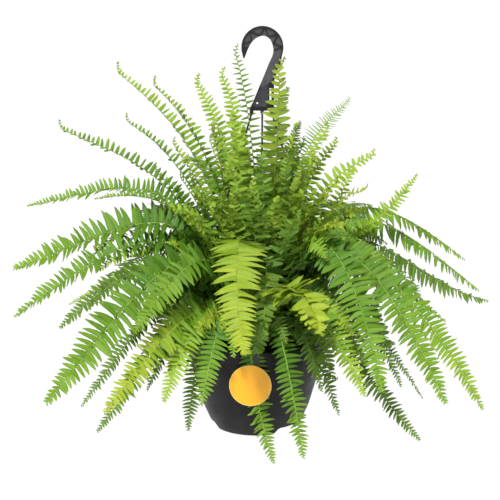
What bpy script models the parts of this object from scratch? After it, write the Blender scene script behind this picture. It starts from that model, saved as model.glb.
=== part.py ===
# Boston fern in a hanging basket.
# Metres, +Z up. The origin is the seat of the hook, where the basket hangs.
import math
import random
from collections import namedtuple

import bmesh
import bpy
import numpy as np
from mathutils import Vector
from mathutils.bvhtree import BVHTree

MM = 0.001
GAP = 0.3 * MM

# Pot
POT_X = -9 * MM
RIM_Z = -428 * MM
POT_HEIGHT = 135 * MM
RIM_RADIUS = 101.5 * MM
RIM_BAND = 19 * MM
POT_WALL = 2.0 * MM
POT_SIDES = 36
# Outer wall under the rim band, as (height under the rim, radius)
WALL_PROFILE = [(19, 99.4), (37, 96.5), (103, 77.5), (125, 68.0), (135, 63.0)]
FLOOR_HEIGHT = 14 * MM
ARCH_HEIGHT = 10 * MM
ARCH_AZIMUTHS = (-47, -167, 73)
ARCH_HALF_ANGLE = 20
ARCH_FLAT_SHARE = 0.72
ARCH_CUT_RADII = (45 * MM, 90 * MM)
DRAIN_AZIMUTHS = (13, 133, 253)
DRAIN_RING = 38 * MM
DRAIN_RADIUS = 6 * MM

# Soil
SOIL_DROP = 12 * MM
SOIL_MOUND = 3 * MM
SOIL_CLEAR = 0.4 * MM
SOIL_CROWN_RADIUS = 14 * MM
SOIL_SHOULDER_RADIUS = 60 * MM
SOIL_SIDES = 20

# Round tag
TAG_DIAMETER = 59 * MM
TAG_THICKNESS = 1.0 * MM
TAG_BEVEL = 0.3 * MM
TAG_SIDES = 36
TAG_AZIMUTH = -94.6
TAG_STANDOFF = 107.5 * MM
TAG_CENTRE_DROP = 45.5 * MM
TAG_PAD_SPREAD = 14 * MM
TAG_PAD_DROP = 27 * MM
TAG_PAD_SIZE = 6 * MM

# Hook head, cut from a flat plate that faces the front
HOOK_THICKNESS = 8 * MM
HOOK_POCKET = 2.6 * MM
HOOK_FLANGE = 2.2 * MM
HOOK_ARC_CENTRE = (-0.8, -15.9)
HOOK_ARC_RADIUS = 29.2
HOOK_ARC_FROM = 196
HOOK_ARC_TO = -20
HOOK_TIP = [(-27.2, -31.6), (-25.2, -29.6)]
HOOK_INNER = [
    (-21.2, -18.8), (-15.8, -9.3), (-9.0, -2.9), (0.0, 0.0), (7.0, -2.5), (11.8, -8.2),
    (14.4, -18.8), (13.4, -27.0), (9.0, -36.8), (3.2, -51.1), (-5.3, -71.7), (-13.0, -91.0),
]
HOOK_FOOT = [(-18.4, -102.0), (-18.4, -108.0), (-13.2, -108.0), (-13.2, -104.0), (-3.4, -104.0),
             (-3.4, -108.0), (1.8, -108.0), (1.8, -104.0), (10.4, -104.0), (10.4, -108.0),
             (15.6, -108.0)]
HOOK_OUTER_SHANK = [(15.6, -63.0), (19.5, -50.5), (25.2, -34.5)]
HOOK_POCKET_ARC = (178, -18)
HOOK_POCKET_SPANS = 14
HOOK_POCKET_SHANK = [(22.6, -34.5), (17.0, -50.0), (13.0, -61.0), (7.0, -67.0), (-3.0, -72.0)]
HOOK_POCKET_LOW = -66
# Axis of the hook for the fronds' routes, as (x, z)
HOOK_LINE = [(0, 0), (14, -18), (10, -45), (0, -75), (-4, -106)]
HOOK_SLOT = (9.2, 12.0, -90.0, -72.5)
HOOK_HOLE = (-7.9, -93.8, 1.6)
SMOOTH_STEPS = 3

# Strands, from the foot of the hook to the rim
STRAND_RADIUS = 1.4 * MM
STRAND_SIDES = 6
STRAND_POINTS = 9
STRAND_TOP_Z = -109.0 * MM
# name, x of the top, azimuth of the clip, bow outward, bow along +X
STRANDS = [
    ("strand_left", -15.8, 150, 4, 0),
    ("strand_front", -0.8, -90, 3, 2),
    ("strand_right", 13.0, 30, 4, 7),
]
CLIP_WIDTH = 8 * MM
CLIP_PLATE = 2.4 * MM
CLIP_OUTER_LEG = 16 * MM
CLIP_INNER_LEG = 6 * MM
CLIP_INNER_SLACK = 1.1 * MM
CLIP_CLEAR = 2.2 * MM
CLIP_REACH_IN = 7 * MM

# Fronds: stem and blade
STEM_HALF = 1.1 * MM
STEM_HOLE_CLEAR = 0.35 * MM
HOLE_OVER_STEM = 12 * MM
HOLE_OVER_KNOB = 8 * MM
RIB_HALF_WIDTH = 0.9 * MM
RIB_HALF_THICKNESS = 0.6 * MM
TIP_HALF_THICKNESS = 0.35 * MM
ROOT_DEPTH = 14 * MM
ROOT_RISE = 3 * MM
STEM_POINTS = 3
ROOT_SPACING = 6.5 * MM
ROUTE_GAP = 3.6 * MM
ROUTE_POINTS = 60
RIM_CLEAR = 3.4 * MM
RIM_CLEAR_ABOVE = 2.6 * MM
WALL_CLEAR_OUT = 1.2 * MM
WALL_CLEAR_IN = 6 * MM
TAG_CLEAR_SIDE = 2 * MM
TAG_CLEAR_BEHIND = 1.1 * MM
TAG_CLEAR_FRONT = 1.5 * MM
LEAF_MARGIN = 0.35 * MM
LEAF_FORWARD = 18
LEAF_CROWDING = 1.15
LEAF_FOLD = 10
FOLD_JITTER = 5
FOLD_TRIES = (0, 14, -14, 28, -28, 42, -42)
LENGTH_TRIES = (1.0, 0.82, 0.64, 0.46, 0.3, 0.18)
TWIN_SPACING = 3.8 * MM
TWIN_TO_OTHERS = 5.5 * MM
KNOB_STEM_HALF = 1.3 * MM
KNOB_HALF_WIDTH = 1.6 * MM
KNOB_DEPTH = 9 * MM
SEED = 7

# Distance from the pot's axis at which the stems of each ring leave the soil
ROOT_RING = {"heart": 15, "inner": 29, "middle": 43, "outer": 57}
# Share of each ring's rachis that is bare stem
LEAFY_FROM = {"outer": 0.26, "middle": 0.28, "inner": 0.34, "heart": 0.34}

# How the plant was seen: pixels for the focal length and the middle, mm for the rest
VIEW_FOCAL = 1537.0
VIEW_MIDDLE = 250.0
VIEW_DISTANCE = 2200.0
VIEW_TILT = math.radians(13)
VIEW_TARGET_X = -18.0
VIEW_TARGET_Z = -305.0
# A reading is good to about this many mm
PLACE_STEP = 5

Frond = namedtuple("Frond", "name rise bend tip half_width roll pairs tone ring")
Seen = namedtuple("Seen", Frond._fields)

# Each frond's rachis is one cubic curve from its stem in the soil to its tip. rise and bend are
# the curve's handles. A Frond's points are (x, y, height over the rim) in mm from the pot's axis.
# A Seen frond's points were read by eye off the photograph, as (pixels across, pixels down,
# depth y in mm), where the depth is a guess.
# half_width is the longest leaflet in mm, roll turns the blade's face about the rachis.
FROND_TABLE = [
    Seen("front_4", (238, 120, -80), (229, 315, -190), (244.6, 356, -235), 42, 0, 17, "bright", "middle"),
    Seen("front_7", (262, 270, -110), (310, 270, -200), (318, 334, -255), 42, 0, 13, "bright", "middle"),
    Frond("front_5", (-5, -132, 115), (-5, -93, -65), (25, -107, -160), 24, 0, 15, "mid", "outer"),
    Seen("front_6", (272, 270, -112), (291, 390, -122), (302, 458, -140), 24, 0, 15, "mid", "outer"),
    Seen("front_3", (230, 255, -90), (214, 345, -145), (202, 405, -165), 27, -20, 13, "mid", "outer"),
    Seen("front_1", (215, 260, -90), (183, 345, -155), (164, 402, -180), 24, -30, 11, "fresh", "outer"),
    Seen("front_2", (215, 270, -60), (190, 370, -100), (187, 432, -112), 20, -30, 11, "dark", "outer"),
    Seen("front_8", (285, 275, -100), (312, 345, -115), (320, 392, -120), 22, 0, 10, "dark", "outer"),
    Seen("left_7", (215, 160, -70), (120, 320, -165), (46, 405, -200), 38, -60, 16, "mid", "outer"),
    Seen("left_2", (195, 170, -5), (150, 219, -15), (12, 269, -20), 38, -38, 16, "mid", "outer"),
    Seen("left_1", (205, 135, 15), (110, 190, 45), (28, 207, 60), 28, -30, 14, "mid", "middle"),
    Seen("left_3", (195, 190, -20), (125, 235, -45), (16, 317, -60), 30, -30, 14, "mid", "outer"),
    Seen("left_9", (215, 260, -90), (160, 345, -180), (106, 413, -225), 28, -50, 12, "bright", "outer"),
    Seen("left_4", (205, 215, -30), (140, 265, -65), (68, 303, -85), 16, -40, 10, "fresh", "middle"),
    Seen("left_5", (205, 200, -10), (140, 240, -40), (97, 271, -60), 22, -30, 9, "dark", "middle"),
    Seen("left_6", (200, 215, -40), (120, 270, -90), (61, 327, -115), 26, -35, 12, "dark", "outer"),
    Seen("left_8", (205, 220, -30), (130, 340, -75), (80, 407, -95), 20, -30, 11, "dark", "outer"),
    Seen("left_10", (210, 270, -50), (150, 370, -110), (98, 433, -130), 22, -30, 12, "dark", "outer"),
    Seen("left_11", (212, 275, -30), (170, 340, -55), (148, 392, -70), 20, -20, 8, "dark", "outer"),
    Seen("right_5", (310, 130, -90), (365, 300, -180), (384, 393, -215), 36, 30, 14, "mid", "outer"),
    Seen("right_8", (320, 150, -55), (400, 300, -135), (445, 403, -170), 33, 40, 14, "mid", "outer"),
    Seen("right_9", (325, 170, -20), (430, 310, -60), (482, 411, -80), 28, 45, 14, "fresh", "outer"),
    Seen("right_3", (293, 262, -105), (333, 330, -155), (366, 398, -185), 26, 20, 12, "fresh", "outer"),
    Seen("right_4", (295, 240, -30), (350, 365, -70), (421, 441, -95), 24, 30, 13, "dark", "outer"),
    Seen("right_11", (320, 140, 5), (410, 290, 20), (488, 301, 30), 32, 24, 14, "dark", "middle"),
    Seen("right_12", (320, 150, 30), (400, 225, 65), (478, 289, 90), 30, 24, 12, "mid", "middle"),
    Seen("right_13", (320, 150, 50), (395, 205, 105), (465, 261, 140), 29, 24, 12, "mid", "middle"),
    Seen("right_1", (310, 250, 0), (375, 235, 15), (418, 173, 20), 22, 40, 12, "fresh", "middle"),
    Seen("right_2", (290, 280, -60), (320, 355, -90), (339, 417, -105), 20, 0, 9, "dark", "outer"),
    Seen("right_6", (300, 235, -50), (378, 325, -95), (401, 388, -115), 20, 20, 9, "dark", "outer"),
    Seen("right_7", (305, 235, -35), (385, 340, -65), (423, 399, -75), 14, 20, 7, "dark", "outer"),
    Seen("right_10", (320, 190, -5), (400, 290, -20), (445, 320, -30), 20, 25, 8, "mid", "outer"),
    Seen("top_8", (272, 220, -25), (280, 110, -28), (277, 54, -25), 30, -45, 14, "bright", "heart"),
    Seen("top_7", (262, 200, 30), (250, 90, 60), (233, 43, 70), 24, 0, 13, "mid", "heart"),
    Seen("top_1", (225, 143, 40), (160, 112, 90), (110, 65, 120), 22, -20, 13, "fresh", "inner"),
    Seen("top_2", (228, 160, 30), (185, 112, 80), (146, 78, 110), 22, -15, 12, "fresh", "heart"),
    Seen("top_3", (215, 185, 5), (165, 143, 20), (121, 116, 30), 20, -15, 11, "mid", "inner"),
    Seen("top_4", (200, 165, 20), (120, 160, 45), (51, 126, 60), 26, -20, 13, "mid", "middle"),
    Seen("top_5", (248, 190, 40), (217, 115, 90), (190, 74, 120), 20, -40, 12, "fresh", "heart"),
    Seen("top_6", (245, 190, 25), (240, 85, 55), (216, 69, 60), 20, -45, 12, "fresh", "heart"),
    Seen("top_9", (275, 200, 25), (303, 130, 70), (353, 101, 100), 30, 20, 12, "mid", "heart"),
    Seen("top_10", (285, 215, 10), (308, 145, 30), (332, 124, 40), 24, 20, 9, "fresh", "inner"),
    Seen("top_11", (285, 230, 30), (312, 155, 60), (341, 139, 75), 22, 20, 9, "fresh", "inner"),
    Seen("top_12", (285, 215, -5), (330, 170, 5), (379, 152, 15), 24, 40, 11, "fresh", "middle"),
    Seen("top_13", (300, 250, 25), (335, 195, 45), (357, 167, 60), 20, 30, 8, "mid", "middle"),
    Seen("top_14", (300, 230, -30), (335, 190, -60), (370, 190, -95), 24, 20, 8, "bright", "middle"),
    Seen("inner_1", (240, 250, -25), (225, 190, -65), (190, 195, -95), 22, -20, 8, "fresh", "inner"),
    Seen("inner_2", (248, 250, -40), (245, 180, -75), (225, 160, -85), 22, 0, 8, "fresh", "inner"),
    Seen("inner_3", (262, 250, -45), (264, 190, -70), (262, 150, -65), 22, 0, 8, "mid", "heart"),
    Seen("inner_4", (275, 255, -40), (290, 200, -75), (300, 172, -85), 22, 0, 8, "fresh", "inner"),
    Seen("inner_5", (285, 250, -40), (305, 200, -85), (330, 200, -115), 22, 20, 8, "fresh", "inner"),
    Seen("inner_6", (285, 245, -60), (330, 225, -120), (352, 240, -155), 24, 0, 8, "mid", "middle"),
    Seen("inner_7", (275, 260, -70), (290, 220, -140), (300, 215, -180), 22, 0, 8, "fresh", "middle"),
    Seen("inner_8", (235, 250, -60), (200, 205, -110), (180, 215, -145), 22, -20, 8, "fresh", "inner"),
    Seen("inner_9", (265, 230, -70), (255, 200, -115), (230, 189, -125), 16, 0, 8, "bright", "inner"),
    Seen("inner_10", (225, 245, -20), (190, 205, -50), (163, 207, -65), 22, -30, 8, "mid", "inner"),
    Frond("back_1", (75, 55, 190), (190, 140, 110), (265, 205, -10), 28, 0, 10, "mid", "outer"),
    Frond("back_2", (55, 70, 230), (140, 210, 170), (195, 290, 80), 30, 0, 11, "mid", "outer"),
    Frond("back_3", (50, 75, 130), (115, 165, 10), (140, 200, -90), 26, 0, 9, "dark", "outer"),
    Frond("back_4", (30, 75, 240), (75, 225, 230), (105, 310, 190), 28, 0, 11, "fresh", "middle"),
    Frond("back_5", (25, 85, 190), (60, 225, 70), (75, 290, -45), 32, 0, 11, "mid", "middle"),
    Frond("back_6", (5, 75, 260), (5, 230, 225), (15, 320, 160), 30, 0, 11, "mid", "outer"),
    Frond("back_7", (0, 80, 130), (0, 160, 20), (5, 185, -120), 28, 0, 9, "dark", "outer"),
    Frond("back_8", (-25, 85, 190), (-60, 225, 80), (-75, 300, -25), 32, 0, 11, "mid", "middle"),
    Frond("back_9", (-25, 70, 245), (-75, 220, 235), (-115, 310, 195), 28, 0, 11, "fresh", "middle"),
    Frond("back_10", (-50, 75, 130), (-105, 160, 10), (-130, 195, -100), 26, 0, 9, "dark", "outer"),
    Frond("back_11", (-55, 70, 230), (-140, 200, 165), (-200, 280, 75), 30, 0, 11, "mid", "outer"),
    Frond("back_12", (-75, 50, 190), (-190, 135, 100), (-265, 200, -20), 30, 0, 10, "mid", "outer"),
    Frond("back_13", (-80, 50, 240), (-195, 130, 150), (-262, 190, 62), 26, 0, 10, "fresh", "outer"),
    Frond("back_14", (10, 45, 230), (25, 140, 320), (50, 215, 330), 26, 0, 10, "fresh", "inner"),
]


def place_of(across, down, depth):
    """(x, y, height over the rim) in mm, from the pot's axis, of a point that was read."""
    cos, sin = math.cos(VIEW_TILT), math.sin(VIEW_TILT)
    slope = (VIEW_MIDDLE - down) / VIEW_FOCAL
    up = (slope * (VIEW_DISTANCE + depth * cos) - depth * sin) / (cos + slope * sin)
    distance = VIEW_DISTANCE + depth * cos - up * sin
    x = (across - VIEW_MIDDLE) * distance / VIEW_FOCAL + VIEW_TARGET_X - POT_X / MM
    height = up + VIEW_TARGET_Z - RIM_Z / MM
    return PLACE_STEP * round(x / PLACE_STEP), depth, PLACE_STEP * round(height / PLACE_STEP)


def placed(row):
    """A row of the table as a Frond with its points in mm."""
    if isinstance(row, Frond):
        return row
    points = [place_of(*point) for point in (row.rise, row.bend, row.tip)]
    return Frond(row.name, *points, *row[4:])


FRONDS = [placed(row) for row in FROND_TABLE]

# Fronds that grow from one knob of rootstock, second from the first's root
TWINS = {
    "left_5": "left_4", "left_11": "left_10", "right_7": "right_6", "top_11": "top_10",
    "top_13": "top_12", "inner_2": "inner_1", "inner_9": "inner_3", "inner_5": "inner_4",
    "inner_7": "inner_6", "inner_10": "inner_8", "back_2": "back_1", "back_5": "back_4",
    "back_7": "back_6", "back_9": "back_8", "back_11": "back_10", "back_13": "back_12",
    "back_14": "back_3",
}

# Colours as (red, green, blue), roughness
FINISHES = {
    "basket_plastic": ((0.022, 0.023, 0.027), 0.45),
    "hanger_plastic": ((0.030, 0.031, 0.036), 0.42),
    "tag_plastic": ((0.95, 0.52, 0.03), 0.40),
    "soil": ((0.045, 0.028, 0.017), 0.95),
    "bright": ((0.42, 0.60, 0.06), 0.50),
    "fresh": ((0.25, 0.45, 0.04), 0.50),
    "mid": ((0.11, 0.30, 0.03), 0.50),
    "dark": ((0.045, 0.16, 0.02), 0.55),
}


def clear_scene():
    for obj in list(bpy.data.objects):
        bpy.data.objects.remove(obj, do_unlink=True)


def finish(obj, finish_name):
    """Gives the object its own Principled material."""
    colour, roughness = FINISHES[finish_name]
    mat = bpy.data.materials.new(obj.name + "_" + finish_name)
    mat.use_nodes = True
    shader = mat.node_tree.nodes["Principled BSDF"]
    shader.inputs["Base Color"].default_value = (*colour, 1.0)
    shader.inputs["Roughness"].default_value = roughness
    shader.inputs["Metallic"].default_value = 0.0
    obj.data.materials.clear()
    obj.data.materials.append(mat)


def mesh_object(name, points, faces, place=(0, 0, 0)):
    """A closed mesh object with its faces turned outward."""
    mesh = bpy.data.meshes.new(name)
    mesh.from_pydata([tuple(p) for p in points], [], faces)
    bm = bmesh.new()
    bm.from_mesh(mesh)
    bmesh.ops.recalc_face_normals(bm, faces=bm.faces)
    bm.to_mesh(mesh)
    bm.free()
    obj = bpy.data.objects.new(name, mesh)
    obj.location = place
    bpy.context.scene.collection.objects.link(obj)
    return obj


def as_cutter(obj):
    obj.hide_render = True
    obj.display_type = "WIRE"
    return obj


def boolean(target, others, operation):
    """Joins or cuts with every object in others at once, applies the result and removes them."""
    group = bpy.data.collections.new(target.name + "_" + operation.lower())
    bpy.context.scene.collection.children.link(group)
    for other in others:
        group.objects.link(as_cutter(other))
    modifier = target.modifiers.new(operation, "BOOLEAN")
    modifier.operation = operation
    modifier.operand_type = "COLLECTION"
    modifier.collection = group
    modifier.solver = "EXACT"
    graph = bpy.context.evaluated_depsgraph_get()
    made = bpy.data.meshes.new_from_object(target.evaluated_get(graph))
    target.modifiers.remove(modifier)
    target.data = made
    for other in others:
        bpy.data.objects.remove(other, do_unlink=True)
    bpy.data.collections.remove(group)


def box_object(name, low, high):
    x0, y0, z0 = low
    x1, y1, z1 = high
    points = [(x, y, z) for z in (z0, z1) for y in (y0, y1) for x in (x0, x1)]
    faces = [(0, 2, 3, 1), (4, 5, 7, 6), (0, 1, 5, 4), (2, 6, 7, 3), (0, 4, 6, 2), (1, 3, 7, 5)]
    return mesh_object(name, points, faces)


def ring_loft(rings, closed=False):
    """Faces between rings of equally many points, with a cap on each end unless closed."""
    sides = len(rings[0])
    points = [p for ring in rings for p in ring]
    faces = []
    count = len(rings)
    for i in range(count if closed else count - 1):
        a, b = i * sides, (i + 1) % count * sides
        for j in range(sides):
            k = (j + 1) % sides
            faces.append((a + j, a + k, b + k, b + j))
    if not closed:
        faces.append(tuple(range(sides))[::-1])
        faces.append(tuple(range((count - 1) * sides, count * sides)))
    return points, faces


def circle_points(radius, z, sides, centre=(0.0, 0.0), start=0.0):
    turn = 2 * math.pi / sides
    return [
        (centre[0] + radius * math.cos(start + i * turn),
         centre[1] + radius * math.sin(start + i * turn), z)
        for i in range(sides)
    ]


def turned(name, profile, sides):
    """A solid turned about the pot's axis from a closed profile of (radius, z)."""
    rings = [circle_points(r, z, sides, (POT_X, 0.0)) for r, z in profile]
    points, faces = ring_loft(rings, closed=True)
    return mesh_object(name, points, faces)


def at_azimuth(azimuth, radius, z):
    a = math.radians(azimuth)
    return Vector((POT_X + radius * math.cos(a), radius * math.sin(a), z))


def wall_radius(drop):
    """Outer radius of the wall at this height under the rim, in metres."""
    drops = [d * MM for d, _ in WALL_PROFILE]
    radii = [r * MM for _, r in WALL_PROFILE]
    return float(np.interp(drop, drops, radii))


def smooth_curve(points, steps):
    """Catmull-Rom curve through the points, steps spans between each pair."""
    pts = [np.array(p, float) for p in points]
    ends = [2 * pts[0] - pts[1]] + pts + [2 * pts[-1] - pts[-2]]
    out = []
    for i in range(1, len(ends) - 2):
        a, b, c, d = ends[i - 1:i + 3]
        for k in range(steps):
            t = k / steps
            out.append(0.5 * (2 * b + (c - a) * t + (2 * a - 5 * b + 4 * c - d) * t * t
                              + (3 * b - a - 3 * c + d) * t ** 3))
    out.append(pts[-1])
    return out


def tube(name, route, radii, sides):
    """A round tube along the route with flat caps."""
    route = [Vector(p) for p in route]
    rings = []
    side = None
    for i, here in enumerate(route):
        ahead = (route[min(i + 1, len(route) - 1)] - route[max(i - 1, 0)]).normalized()
        if side is None:
            side = ahead.orthogonal()
        side = (side - side.project(ahead)).normalized()
        up = ahead.cross(side)
        rings.append([
            here + radii[i] * (side * math.cos(a) + up * math.sin(a))
            for a in (2 * math.pi * k / sides for k in range(sides))
        ])
    points, faces = ring_loft(rings)
    return mesh_object(name, points, faces)


def plate(name, outline, thickness):
    """A plate that faces the front, from an outline of (x, z) in mm."""
    half = thickness / 2
    front = [(x * MM, -half, z * MM) for x, z in outline]
    back = [(x * MM, half, z * MM) for x, z in outline]
    points, faces = ring_loft([front, back])
    return mesh_object(name, points, faces)


def cylinder_object(name, radius, start, end, sides=12):
    start, end = Vector(start), Vector(end)
    return tube(name, [start, end], [radius, radius], sides)


# Pot
def build_pot():
    foot_z = RIM_Z - POT_HEIGHT
    outer = [(wall_radius(d * MM), RIM_Z - d * MM) for d, _ in WALL_PROFILE]
    floor_top = foot_z + FLOOR_HEIGHT + POT_WALL
    inner_low = wall_radius(POT_HEIGHT - FLOOR_HEIGHT - POT_WALL) - POT_WALL
    profile = [
        (RIM_RADIUS - 0.8 * MM, RIM_Z),
        (RIM_RADIUS, RIM_Z - 1.0 * MM),
        (RIM_RADIUS, RIM_Z - RIM_BAND),
    ]
    profile += outer
    profile += [
        (outer[-1][0] - POT_WALL, foot_z),
        (wall_radius(POT_HEIGHT - FLOOR_HEIGHT) - POT_WALL, foot_z + FLOOR_HEIGHT),
    ]
    floor_under = [(2.0 * MM, foot_z + FLOOR_HEIGHT)]
    floor_over = [(2.0 * MM, floor_top), (inner_low, floor_top)]
    inner = [
        (wall_radius(103 * MM) - POT_WALL, RIM_Z - 103 * MM),
        (wall_radius(37 * MM) - POT_WALL, RIM_Z - 37 * MM),
        (RIM_RADIUS - POT_WALL, RIM_Z),
    ]
    pot = turned("pot", profile + floor_under + floor_over + inner, POT_SIDES)
    cutters = []
    for azimuth in ARCH_AZIMUTHS:
        cutters.append(arch_cutter(azimuth, foot_z))
    for i, azimuth in enumerate(DRAIN_AZIMUTHS):
        centre = at_azimuth(azimuth, DRAIN_RING, 0)
        low = (centre.x, centre.y, foot_z + 2 * MM)
        high = (centre.x, centre.y, floor_top + 2 * MM)
        cutters.append(cylinder_object(f"drain_{i}", DRAIN_RADIUS, low, high, 12))
    boolean(pot, cutters, "DIFFERENCE")
    finish(pot, "basket_plastic")
    return pot


def arch_cutter(azimuth, foot_z):
    """A wedge with sloping sides that lifts the foot's lower edge."""
    # Share of the half angle, and height over the foot, from the sloping side's low end to its top
    slope = [(1.15, -3 * MM), (1.0, 0.0), (ARCH_FLAT_SHARE, ARCH_HEIGHT)]
    corners_round = slope + [(-share, height) for share, height in slope[::-1]]
    rings = []
    for radius in ARCH_CUT_RADII:
        rings.append([
            at_azimuth(azimuth + ARCH_HALF_ANGLE * share, radius, foot_z + height)
            for share, height in corners_round
        ])
    points, faces = ring_loft(rings)
    return mesh_object(f"arch_{azimuth}", points, faces)


# Soil
def build_soil(stems):
    clear = POT_WALL + SOIL_CLEAR
    low = POT_HEIGHT - FLOOR_HEIGHT - POT_WALL - GAP
    profile = [
        (SOIL_CROWN_RADIUS, RIM_Z - SOIL_DROP + SOIL_MOUND),
        (SOIL_SHOULDER_RADIUS, RIM_Z - SOIL_DROP + SOIL_MOUND * 0.6),
    ]
    for drop in (SOIL_DROP + 3 * MM, 37 * MM, 103 * MM, low):
        radius = wall_radius(drop) - clear if drop > RIM_BAND else wall_radius(RIM_BAND) - clear
        profile.append((radius, RIM_Z - drop))
    rings = [circle_points(r, z, SOIL_SIDES, (POT_X, 0.0)) for r, z in profile]
    points, faces = ring_loft(rings)
    soil = mesh_object("potting_soil", points, faces)
    boolean(soil, stems, "DIFFERENCE")
    finish(soil, "soil")
    return soil


# Round tag
def build_tag():
    """A flat blank disc that hangs plumb on two pads under the rim band."""
    half = TAG_DIAMETER / 2
    a = math.radians(TAG_AZIMUTH)
    out = Vector((math.cos(a), math.sin(a), 0))
    across = Vector((-math.sin(a), math.cos(a), 0))
    up = Vector((0, 0, 1))
    axis = Vector((POT_X, 0, RIM_Z - TAG_CENTRE_DROP))
    rings = []
    for depth, shrink in ((0, 0), (TAG_THICKNESS - TAG_BEVEL, 0), (TAG_THICKNESS, TAG_BEVEL)):
        centre = axis + out * (TAG_STANDOFF + depth)
        rings.append([
            centre + (half - shrink) * (across * math.cos(t) + up * math.sin(t))
            for t in (2 * math.pi * i / TAG_SIDES for i in range(TAG_SIDES))
        ])
    points, faces = ring_loft(rings)
    tag = mesh_object("round_tag", points, faces)
    pads = []
    size = TAG_PAD_SIZE / 2
    for side in (-1, 1):
        shift = side * TAG_PAD_SPREAD
        centre = Vector((POT_X, 0, RIM_Z - TAG_PAD_DROP)) + across * shift
        reach = math.sqrt((wall_radius(TAG_PAD_DROP - size) + GAP) ** 2 - (TAG_PAD_SPREAD - size) ** 2)
        rings = []
        for depth in (reach, TAG_STANDOFF + TAG_THICKNESS / 2):
            rings.append([
                centre + out * depth + across * (dx * size) + up * (dz * size)
                for dx, dz in ((-1, -1), (1, -1), (1, 1), (-1, 1))
            ])
        points, faces = ring_loft(rings)
        pads.append(mesh_object(f"pad_{side}", points, faces))
    boolean(tag, pads, "UNION")
    finish(tag, "tag_plastic")
    return tag


# Hook
def hook_outline():
    """The head's outline in mm, clockwise from the tip's outer corner."""
    cx, cz = HOOK_ARC_CENTRE
    arc = []
    spans = 22
    for i in range(spans + 1):
        a = math.radians(HOOK_ARC_FROM + (HOOK_ARC_TO - HOOK_ARC_FROM) * i / spans)
        arc.append((cx + HOOK_ARC_RADIUS * math.cos(a), cz + HOOK_ARC_RADIUS * math.sin(a)))
    inner = [tuple(p) for p in smooth_curve(HOOK_INNER, SMOOTH_STEPS)]
    return HOOK_TIP[:1] + arc + HOOK_OUTER_SHANK[::-1] + HOOK_FOOT[::-1] + inner[::-1] + HOOK_TIP[1:]


def inset_outline(outline, distance):
    """The outline moved inward by distance, in mm."""
    pts = [np.array(p, float) for p in outline]
    count = len(pts)
    area = sum(a[0] * b[1] - b[0] * a[1] for a, b in zip(pts, pts[1:] + pts[:1]))
    turn = 1 if area > 0 else -1
    out = []
    for i in range(count):
        before, here, after = pts[i - 1], pts[i], pts[(i + 1) % count]
        u = (here - before) / np.linalg.norm(here - before)
        v = (after - here) / np.linalg.norm(after - here)
        n1 = np.array([-u[1], u[0]]) * turn
        n2 = np.array([-v[1], v[0]]) * turn
        mid = n1 + n2
        mid /= np.linalg.norm(mid)
        out.append(tuple(here + mid * distance / max(0.5, float(mid @ n1))))
    return out


def build_hook():
    hook = plate("hook", hook_outline(), HOOK_THICKNESS)
    cutters = []
    pocket = hook_pocket()
    depth = HOOK_THICKNESS / 2
    for side in (-1, 1):
        web = HOOK_THICKNESS / 2 - HOOK_POCKET
        near = [(x * MM, side * web, z * MM) for x, z in pocket]
        far = [(x * MM, side * (depth + 1 * MM), z * MM) for x, z in pocket]
        points, faces = ring_loft([near, far])
        cutters.append(mesh_object(f"pocket_{side}", points, faces))
    x0, x1, z0, z1 = (v * MM for v in HOOK_SLOT)
    cutters.append(box_object("slot", (x0, -depth - 1 * MM, z0), (x1, depth + 1 * MM, z1)))
    hx, hz, hr = (v * MM for v in HOOK_HOLE)
    cutters.append(cylinder_object("hole", hr, (hx, -depth - 1 * MM, hz), (hx, depth + 1 * MM, hz), 10))
    boolean(hook, cutters, "DIFFERENCE")
    finish(hook, "hanger_plastic")
    return hook


def hook_pocket():
    """The sunk panel of the loop, in mm: between the arc and the inner edge, flange width inside both."""
    cx, cz = HOOK_ARC_CENTRE
    flange = HOOK_FLANGE / MM
    outer = []
    start, end = HOOK_POCKET_ARC
    for i in range(HOOK_POCKET_SPANS + 1):
        a = math.radians(start + (end - start) * i / HOOK_POCKET_SPANS)
        radius = HOOK_ARC_RADIUS - flange
        outer.append((cx + radius * math.cos(a), cz + radius * math.sin(a)))
    outer += HOOK_POCKET_SHANK
    loop = smooth_curve(HOOK_INNER, 2)
    moved = inset_outline([tuple(p) for p in loop] + HOOK_FOOT[-1:] + HOOK_OUTER_SHANK, -flange)
    inner = [p for p in moved[:len(loop)] if p[1] > HOOK_POCKET_LOW]
    return outer + [p for p in inner[::-1] if p[0] > -20 or p[1] > -12]


# Strands
def strand_route(top_x, azimuth, bow_out, bow_x):
    start = Vector((top_x * MM, 0, STRAND_TOP_Z))
    end = at_azimuth(azimuth, RIM_RADIUS, RIM_Z + GAP + CLIP_PLATE / 2)
    out = Vector((math.cos(math.radians(azimuth)), math.sin(math.radians(azimuth)), 0))
    route = []
    for i in range(STRAND_POINTS):
        t = i / (STRAND_POINTS - 1)
        swell = math.sin(math.pi * t)
        point = start.lerp(end, t) + out * (bow_out * MM * swell)
        point.x += bow_x * MM * swell
        route.append(point)
    return route


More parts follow.
